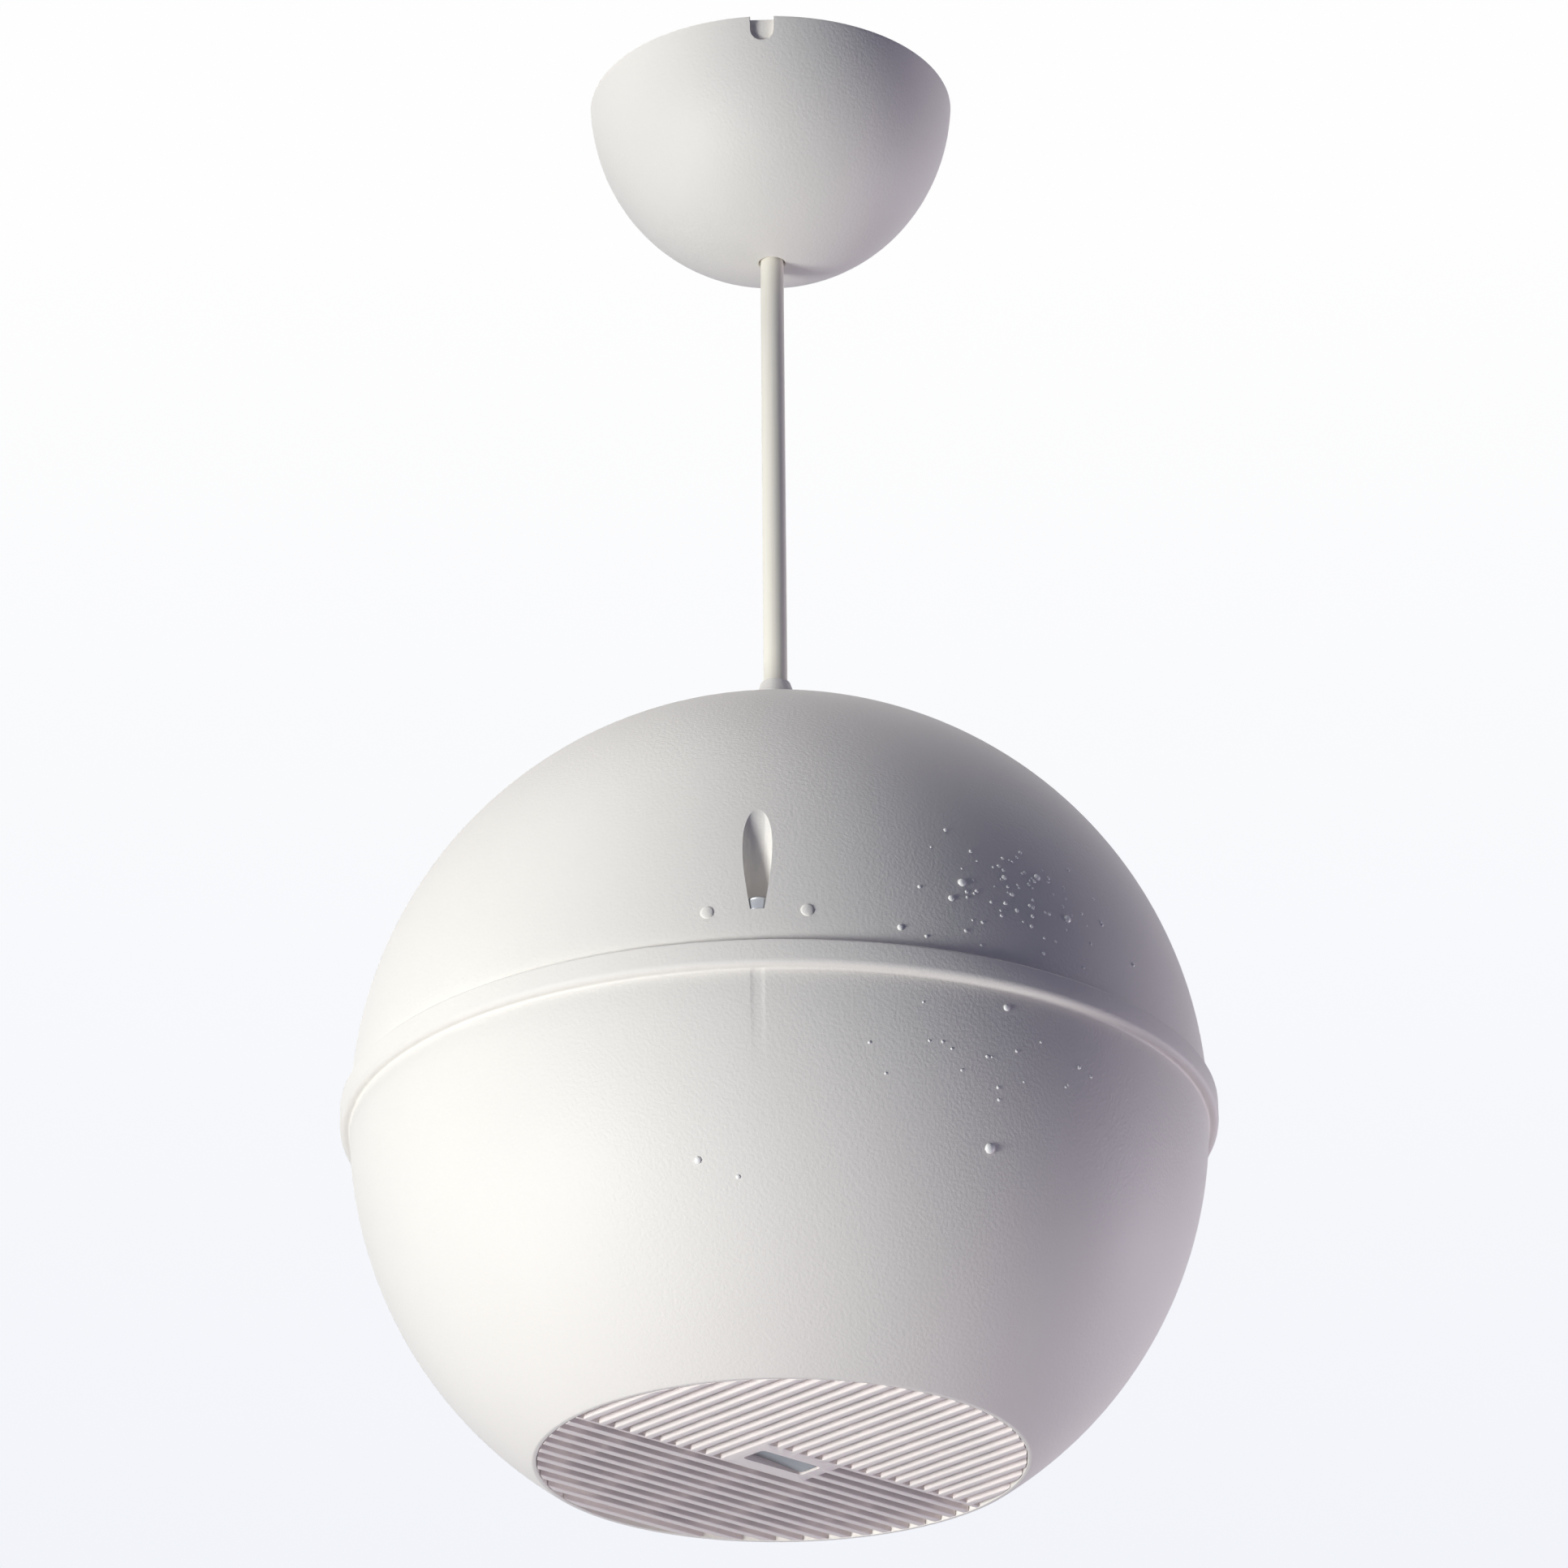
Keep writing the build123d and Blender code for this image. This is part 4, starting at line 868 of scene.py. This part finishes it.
# %% Off-white ABS
finishes = {}
abs_plastic, surface = new_material("off_white_abs")
surface.inputs["IOR"].default_value = 1.53
surface.inputs["Specular IOR Level"].default_value = 0.3
cloud = pattern(abs_plastic, "ShaderNodeTexNoise", 25, {"Detail": 1.0})
abs_shade, bump = worked(abs_plastic, surface, cloud, ("#EEE9E1", "#F2EDE5"), (0.5, 0.6), 1.0)
tool_grain = pattern(abs_plastic, "ShaderNodeTexNoise", 0.7, {"Detail": 3.0})
space = add_node(abs_plastic, "ShaderNodeTexCoord")
place = add_node(abs_plastic, "ShaderNodeSeparateXYZ", inputs={0: space.outputs["Object"]})
toward = add_node(abs_plastic, "ShaderNodeMath", {"operation": "MULTIPLY"},
                  {0: place.outputs["Y"], 1: -1.0})
angle = add_node(abs_plastic, "ShaderNodeMath", {"operation": "ARCTAN2"},
                 {0: place.outputs["X"], 1: toward.outputs[0]})
tripled = add_node(abs_plastic, "ShaderNodeMath", {"operation": "MULTIPLY"},
                   {0: angle.outputs[0], 1: float(well_count)})
wave = add_node(abs_plastic, "ShaderNodeMath", {"operation": "COSINE"},
                {0: tripled.outputs[0]})

# %% Sink lines and grain as one relief
sink_half_width = 1.6 * mm
sink_end_z = lower_z - 24 * mm
sink_full_z = lower_z - 6 * mm
sink_depth_share = -0.12
grain_depth_share = 0.09
line = add_node(abs_plastic, "ShaderNodeMapRange", {"interpolation_type": "SMOOTHSTEP"}, {
    "Value": wave.outputs[0], "To Max": sink_depth_share,
    "From Min": math.cos(well_count * sink_half_width / shell_radius), "From Max": 1.0})
below_seam = add_node(
    abs_plastic, "ShaderNodeMapRange", {"interpolation_type": "SMOOTHSTEP"},
    {"Value": place.outputs["Z"], "From Min": sink_end_z, "From Max": sink_full_z})
under = add_node(abs_plastic, "ShaderNodeMath", {"operation": "LESS_THAN"},
                 {0: place.outputs["Z"], 1: band_low_z})
sink = add_node(abs_plastic, "ShaderNodeMath", {"operation": "MULTIPLY"},
                {0: line.outputs[0], 1: below_seam.outputs[0]})
sink_under = add_node(abs_plastic, "ShaderNodeMath", {"operation": "MULTIPLY"},
                      {0: sink.outputs[0], 1: under.outputs[0]})
relief = add_node(abs_plastic, "ShaderNodeMath", {"operation": "MULTIPLY_ADD"},
                  {0: tool_grain, 1: grain_depth_share, 2: sink_under.outputs[0]})
abs_plastic.node_tree.links.new(relief.outputs[0], bump.inputs["Height"])
finishes["ball_plastic"] = abs_plastic

# %% [markdown]
# The grille is the same plastic as the ball. A copy of the material takes two shades a trace
# pinker than the ball's: painted pink light, which stands in for the pinkish light from below.

# %% ABS of the grille, with painted pink light
grille_plastic_painted_pink_light = abs_plastic.copy()
grille_plastic_painted_pink_light.name = "off_white_abs_grille_painted_pink_light"
grille_painted_pink_light_shade = grille_plastic_painted_pink_light.node_tree.nodes[abs_shade.name]
# These two shades are painted pink light: the pinkish fill from below, set into the colour
grille_painted_pink_light_shade.inputs[mix_first].default_value = to_linear("#EFE6E1")
grille_painted_pink_light_shade.inputs[mix_second].default_value = to_linear("#F3EAE5")

# %% [markdown]
# ## Plastics of the cables
# A PVC sheath comes out of a round die. It keeps faint lines along its length, which give
# the eye a soft streaky sheen. The thin leads inside are brown and blue, one colour on each
# side of the part's middle, as their solids lie.

# %% Cream PVC and lead PVC
cream_pvc, surface = new_material("cream_pvc")
worked(cream_pvc, surface,
       pattern(cream_pvc, "ShaderNodeTexNoise", 0.6, {"Detail": 2.0}, stretch=(1, 1, 30)),
       ("#EFE8D8", "#F5F0E3"), (0.34, 0.46), 0.03)
finishes["cord_pvc"] = cream_pvc

lead_pvc, surface = new_material("brown_and_blue_pvc")
shade = worked(
    lead_pvc, surface, pattern(lead_pvc, "ShaderNodeTexNoise", 0.8, {"Detail": 2.0}),
    ("#643F2A", "#755038"), (0.34, 0.46), 0.02)[0]
space = add_node(lead_pvc, "ShaderNodeTexCoord")
place = add_node(lead_pvc, "ShaderNodeSeparateXYZ", inputs={0: space.outputs["Object"]})
blue_side = add_node(lead_pvc, "ShaderNodeMath", {"operation": "GREATER_THAN"},
                     {0: place.outputs["Y"], 1: 0.0})
coloured = add_node(lead_pvc, "ShaderNodeMix", {"data_type": "RGBA"}, {
    mix_amount: blue_side.outputs[0], mix_first: shade.outputs[mix_result],
    mix_second: to_linear("#3A5FA0")})
lead_pvc.node_tree.links.new(coloured.outputs[mix_result], surface.inputs["Base Color"])
finishes["lead_pvc"] = lead_pvc

# %% [markdown]
# ## Metals
# Metals keep the default IOR, and their colour is that of their reflection. Zinc plate is
# cool and slightly cloudy. Turned brass is yellow, with fine rings from the tool. The plate
# in the grille is aluminium brushed along its length. The brush lines are drawn 0.3 mm apart,
# coarser than real ones, so that they show.

# %% Zinc plate
zinc_steel, surface = new_material("zinc_plated_steel", metallic=1.0)
worked(zinc_steel, surface,
       pattern(zinc_steel, "ShaderNodeTexNoise", 2.5, {"Detail": 4.0}),
       ("#A2A5AA", "#B9BBBF"), (0.3, 0.44), 0.02)
finishes["zinc_steel"] = zinc_steel

# %% Brass
brass, surface = new_material("turned_brass", metallic=1.0)
worked(brass, surface,
       pattern(brass, "ShaderNodeTexWave", 0.4, {"Scale": one_ridge, "Distortion": 0.5},
               {"bands_direction": "Z"}),
       ("#BF9A55", "#D2B06E"), (0.24, 0.36), 0.01)
finishes["brass"] = brass

# %% Brushed aluminium
badge_metal, surface = new_material("brushed_aluminium", metallic=1.0)
worked(badge_metal, surface,
       pattern(badge_metal, "ShaderNodeTexNoise", 0.3, {"Detail": 2.0},
               stretch=(40, 1, 1), turn_deg=math.degrees(rib_turn)),
       ("#989A9D", "#AEB0B3"), (0.3, 0.42), 0.01)
finishes["badge_metal"] = badge_metal

# %% [markdown]
# The transformer's core is a stack of thin stamped sheets. Their edges show as dark and
# light lines, drawn 1 mm apart where real sheets are 0.5 mm, because finer ones would blur.

# %% Laminated core
core_steel, surface = new_material("stacked_core_sheets", metallic=1.0)
worked(core_steel, surface,
       pattern(core_steel, "ShaderNodeTexWave", 1.0, {"Scale": one_ridge, "Distortion": 0.2},
               {"bands_direction": "Y"}),
       ("#58595B", "#86888A"), (0.4, 0.55), 0.08)
finishes["core_steel"] = core_steel

# %% [markdown]
# ## Rubber, paint and ferrite
# Moulded rubber is almost black and dull, with a grey bloom. The driver's basket is pressed
# steel under black paint, which dries with the soft dimples of orange peel. The magnet is
# sintered ferrite: dark, matt and a little pitted.

# %% Rubber
black_rubber, surface = new_material("moulded_rubber")
worked(black_rubber, surface,
       pattern(black_rubber, "ShaderNodeTexNoise", 1.2, {"Detail": 4.0}),
       ("#1A1A1B", "#2C2C2D"), (0.62, 0.8), 0.04)
finishes["black_rubber"] = black_rubber

# %% Painted basket
basket_steel, surface = new_material("black_painted_steel")
worked(basket_steel, surface,
       pattern(basket_steel, "ShaderNodeTexNoise", 1.8, {"Detail": 0.0}),
       ("#262729", "#2F3032"), (0.36, 0.48), 0.05)
finishes["basket_steel"] = basket_steel

# %% Ferrite
ferrite, surface = new_material("sintered_ferrite")
worked(ferrite, surface,
       pattern(ferrite, "ShaderNodeTexNoise", 0.8, {"Detail": 5.0}),
       ("#2F3032", "#47484A"), (0.5, 0.66), 0.06)
finishes["ferrite"] = ferrite

# %% [markdown]
# ## Cloth, paper and felt
# The cloth behind the ribs is an open plain weave. Two sets of ridges cross, and the larger
# of the two at each point is the thread that lies on top. The threads are drawn 0.8 mm apart,
# about twice the real spacing. The cone is pressed pulp with short pale fibres, and the
# damping felt is made of carded grey waste, with a soft sheen.

# %% Grille cloth
grille_cloth, surface = new_material("woven_grille_cloth")
warp, weft = [pattern(grille_cloth, "ShaderNodeTexWave", 0.8, {"Scale": one_ridge},
                      {"bands_direction": direction}) for direction in "XY"]
thread = add_node(grille_cloth, "ShaderNodeMath", {"operation": "MAXIMUM"},
                  {0: warp, 1: weft})
worked(grille_cloth, surface, thread.outputs[0], ("#121214", "#2E2E33"), (0.85, 0.95), 0.2)
finishes["grille_cloth"] = grille_cloth

# %% Cone paper
cone_paper, surface = new_material("pressed_pulp")
worked(cone_paper, surface,
       pattern(cone_paper, "ShaderNodeTexNoise", 1.0, {"Detail": 6.0}),
       ("#211F1E", "#3B3836"), (0.78, 0.92), 0.08)
finishes["cone_paper"] = cone_paper

# %% Felt
felt, surface = new_material("grey_felt")
surface.inputs["Sheen Weight"].default_value = 0.4
worked(felt, surface, pattern(felt, "ShaderNodeTexNoise", 1.5, {"Detail": 8.0}),
       ("#6F6F6D", "#A3A3A0"), (0.9, 1.0), 0.5)
finishes["felt"] = felt

# %% [markdown]
# ## Tape, board and nylon
# The coils and the spider are wrapped in, or made of, amber varnished cloth, with a line at
# each turn. The tag board is brown phenolic paper with streaks of its fibres. The nylon parts
# are moulded, waxy and nearly white.

# %% Coil tape
coil_tape, surface = new_material("varnished_tape")
worked(coil_tape, surface,
       pattern(coil_tape, "ShaderNodeTexWave", 1.5, {"Scale": one_ridge, "Distortion": 1.0},
               {"bands_direction": "Z"}),
       ("#B68B36", "#D2AE58"), (0.38, 0.52), 0.08)
finishes["coil_tape"] = coil_tape

# %% Phenolic board
board, surface = new_material("phenolic_board")
worked(board, surface,
       pattern(board, "ShaderNodeTexNoise", 0.8, {"Detail": 4.0}, stretch=(8, 1, 1)),
       ("#96632F", "#B9854C"), (0.44, 0.58), 0.03)
finishes["board"] = board

# %% Nylon
white_nylon, surface = new_material("moulded_nylon")
surface.inputs["IOR"].default_value = 1.53
worked(white_nylon, surface,
       pattern(white_nylon, "ShaderNodeTexNoise", 3.0, {"Detail": 2.0}),
       ("#E2DFD6", "#EEECE6"), (0.36, 0.48), 0.02)
finishes["white_nylon"] = white_nylon

# %% [markdown]
# The specks on the balls are dried mist of white paint, a shade lighter and glossier than
# the plastic, so that they catch the light on the dark side.

# %% Paint specks
speck_paint, surface = new_material("dried_white_paint")
worked(speck_paint, surface,
       pattern(speck_paint, "ShaderNodeTexNoise", 0.3, {"Detail": 2.0}),
       ("#F4F1EA", "#FEFDFB"), (0.3, 0.45), 0.02)

# %% [markdown]
# Every CAD node and every new piece takes the finish of its slot. The grille then gets its
# plastic with painted pink light, and the specks their paint.

# %% Finishes on the pieces
slot_of = {part["node"]: part["material_slot"] for part in frame["record"]["subparts"]}
for name, node in frame["nodes"].items():
    for place in node.material_slots:
        place.material = finishes[slot_of[name]]
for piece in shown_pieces():
    if "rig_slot" in piece:
        piece.data.materials.clear()
        piece.data.materials.append(finishes[piece["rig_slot"]])
for piece, finish in ((grille_disc, grille_plastic_painted_pink_light), (surface_specks, speck_paint)):
    piece.data.materials.clear()
    piece.data.materials.append(finish)
print("finishes:", len(finishes) + 2)

# %% [markdown]
# ## Light
# The main lamp, low on the left, gives the bright side, and one high on the left lights the
# dome. A pinkish one behind on the right lifts the dark side's edge, and a faint one below
# lights the ribs. A violet sky fills the rest. What the camera sees behind the speaker is
# nearly white, without any more light on the object.

# %% Lamps
ball_centre = Vector((0, 0, (upper_z + lower_z) / 2))
lamp_distance = 1.6


def lamp(name, azimuth_deg, elevation_deg, size, level, colour):
    # A square area lamp aimed at the ball; level 1 lights a white surface to white
    turn, rise = math.radians(azimuth_deg), math.radians(elevation_deg)
    out = Vector((math.sin(turn) * math.cos(rise), -math.cos(turn) * math.cos(rise),
                  math.sin(rise)))
    bpy.ops.object.light_add(type="AREA", location=ball_centre + out * lamp_distance,
                             rotation=out.to_track_quat("Z", "Y").to_euler())
    made = bpy.context.object
    made.name = name
    made.data.size = size
    made.data.energy = math.pi ** 2 * lamp_distance ** 2 * level
    made.data.color = colour
    made.visible_camera = False


lamp("key_lamp", -50, -22, size=0.5, level=0.98, colour=(0.965, 0.995, 0.985))
lamp("high_lamp", -71, 65, size=0.8, level=0.43, colour=(1.0, 1.0, 0.96))
lamp("edge_lamp", 119, -10, size=0.8, level=0.43, colour=(1.0, 0.92, 1.03))
lamp("low_lamp", 70, -80, size=0.8, level=0.1, colour=(1.0, 0.86, 0.93))


# %% World
def seen_directly(owner):
    # 1 for what the camera sees straight, in a reflection or through glass, else 0
    path = add_node(owner, "ShaderNodeLightPath")
    straight = add_node(owner, "ShaderNodeMath", {"operation": "MAXIMUM"},
                        {0: path.outputs["Is Camera Ray"], 1: path.outputs["Is Glossy Ray"]})
    return add_node(owner, "ShaderNodeMath", {"operation": "MAXIMUM"}, {
        0: straight.outputs[0], 1: path.outputs["Is Transmission Ray"]}).outputs[0]


violet_sky = (0.02, 0.025, 0.08, 1)
greyest_rise, whitest_rise = 0.31, 0.50
world = bpy.data.worlds.new("studio")
bpy.context.scene.world = world
world.use_nodes = True
world.node_tree.nodes.clear()
direction = add_node(world, "ShaderNodeTexCoord")
height = add_node(world, "ShaderNodeSeparateXYZ",
                  inputs={"Vector": direction.outputs["Generated"]})
rise = add_node(world, "ShaderNodeMapRange", inputs={
    "Value": height.outputs["Z"], "From Min": greyest_rise, "From Max": whitest_rise})
backdrop = add_node(world, "ShaderNodeMix", {"data_type": "RGBA"}, {
    mix_amount: rise.outputs["Result"], mix_first: to_linear("#F2F4FA"),
    mix_second: to_linear("#FEFEFE")})
ambient = add_node(world, "ShaderNodeBackground", inputs={"Color": violet_sky})
backdrop_light = add_node(world, "ShaderNodeBackground",
                          inputs={"Color": backdrop.outputs[mix_result]})
sky = add_node(world, "ShaderNodeMixShader", inputs={
    0: seen_directly(world), 1: ambient.outputs[0], 2: backdrop_light.outputs[0]})
add_node(world, "ShaderNodeOutputWorld", inputs={"Surface": sky.outputs[0]})

# %% [markdown]
# ## Floor
# The speaker hangs well above a plain pale floor. To the camera the floor glows just enough
# to run into the white background, and it keeps the speaker's soft shadow.

# %% Floor
floor_size = 12
floor_z = -2.4
floor_glow = 0.62
bpy.ops.object.select_all(action="DESELECT")
bpy.ops.mesh.primitive_plane_add(size=floor_size, location=(0, 0, floor_z))
floor = bpy.context.object
floor.name = "floor"
floor_paint, surface = new_material("pale_floor_paint")
surface.inputs["Base Color"].default_value = to_linear("#ECEDEF")
surface.inputs["Roughness"].default_value = 0.8
glow = add_node(floor_paint, "ShaderNodeMath", {"operation": "MULTIPLY"},
                {0: seen_directly(floor_paint), 1: floor_glow})
surface.inputs["Emission Color"].default_value = to_linear("#F4F5F8")
floor_paint.node_tree.links.new(glow.outputs[0], surface.inputs["Emission Strength"])
floor.data.materials.append(floor_paint)

# %% View transform
bpy.context.scene.view_settings.view_transform = "Standard"
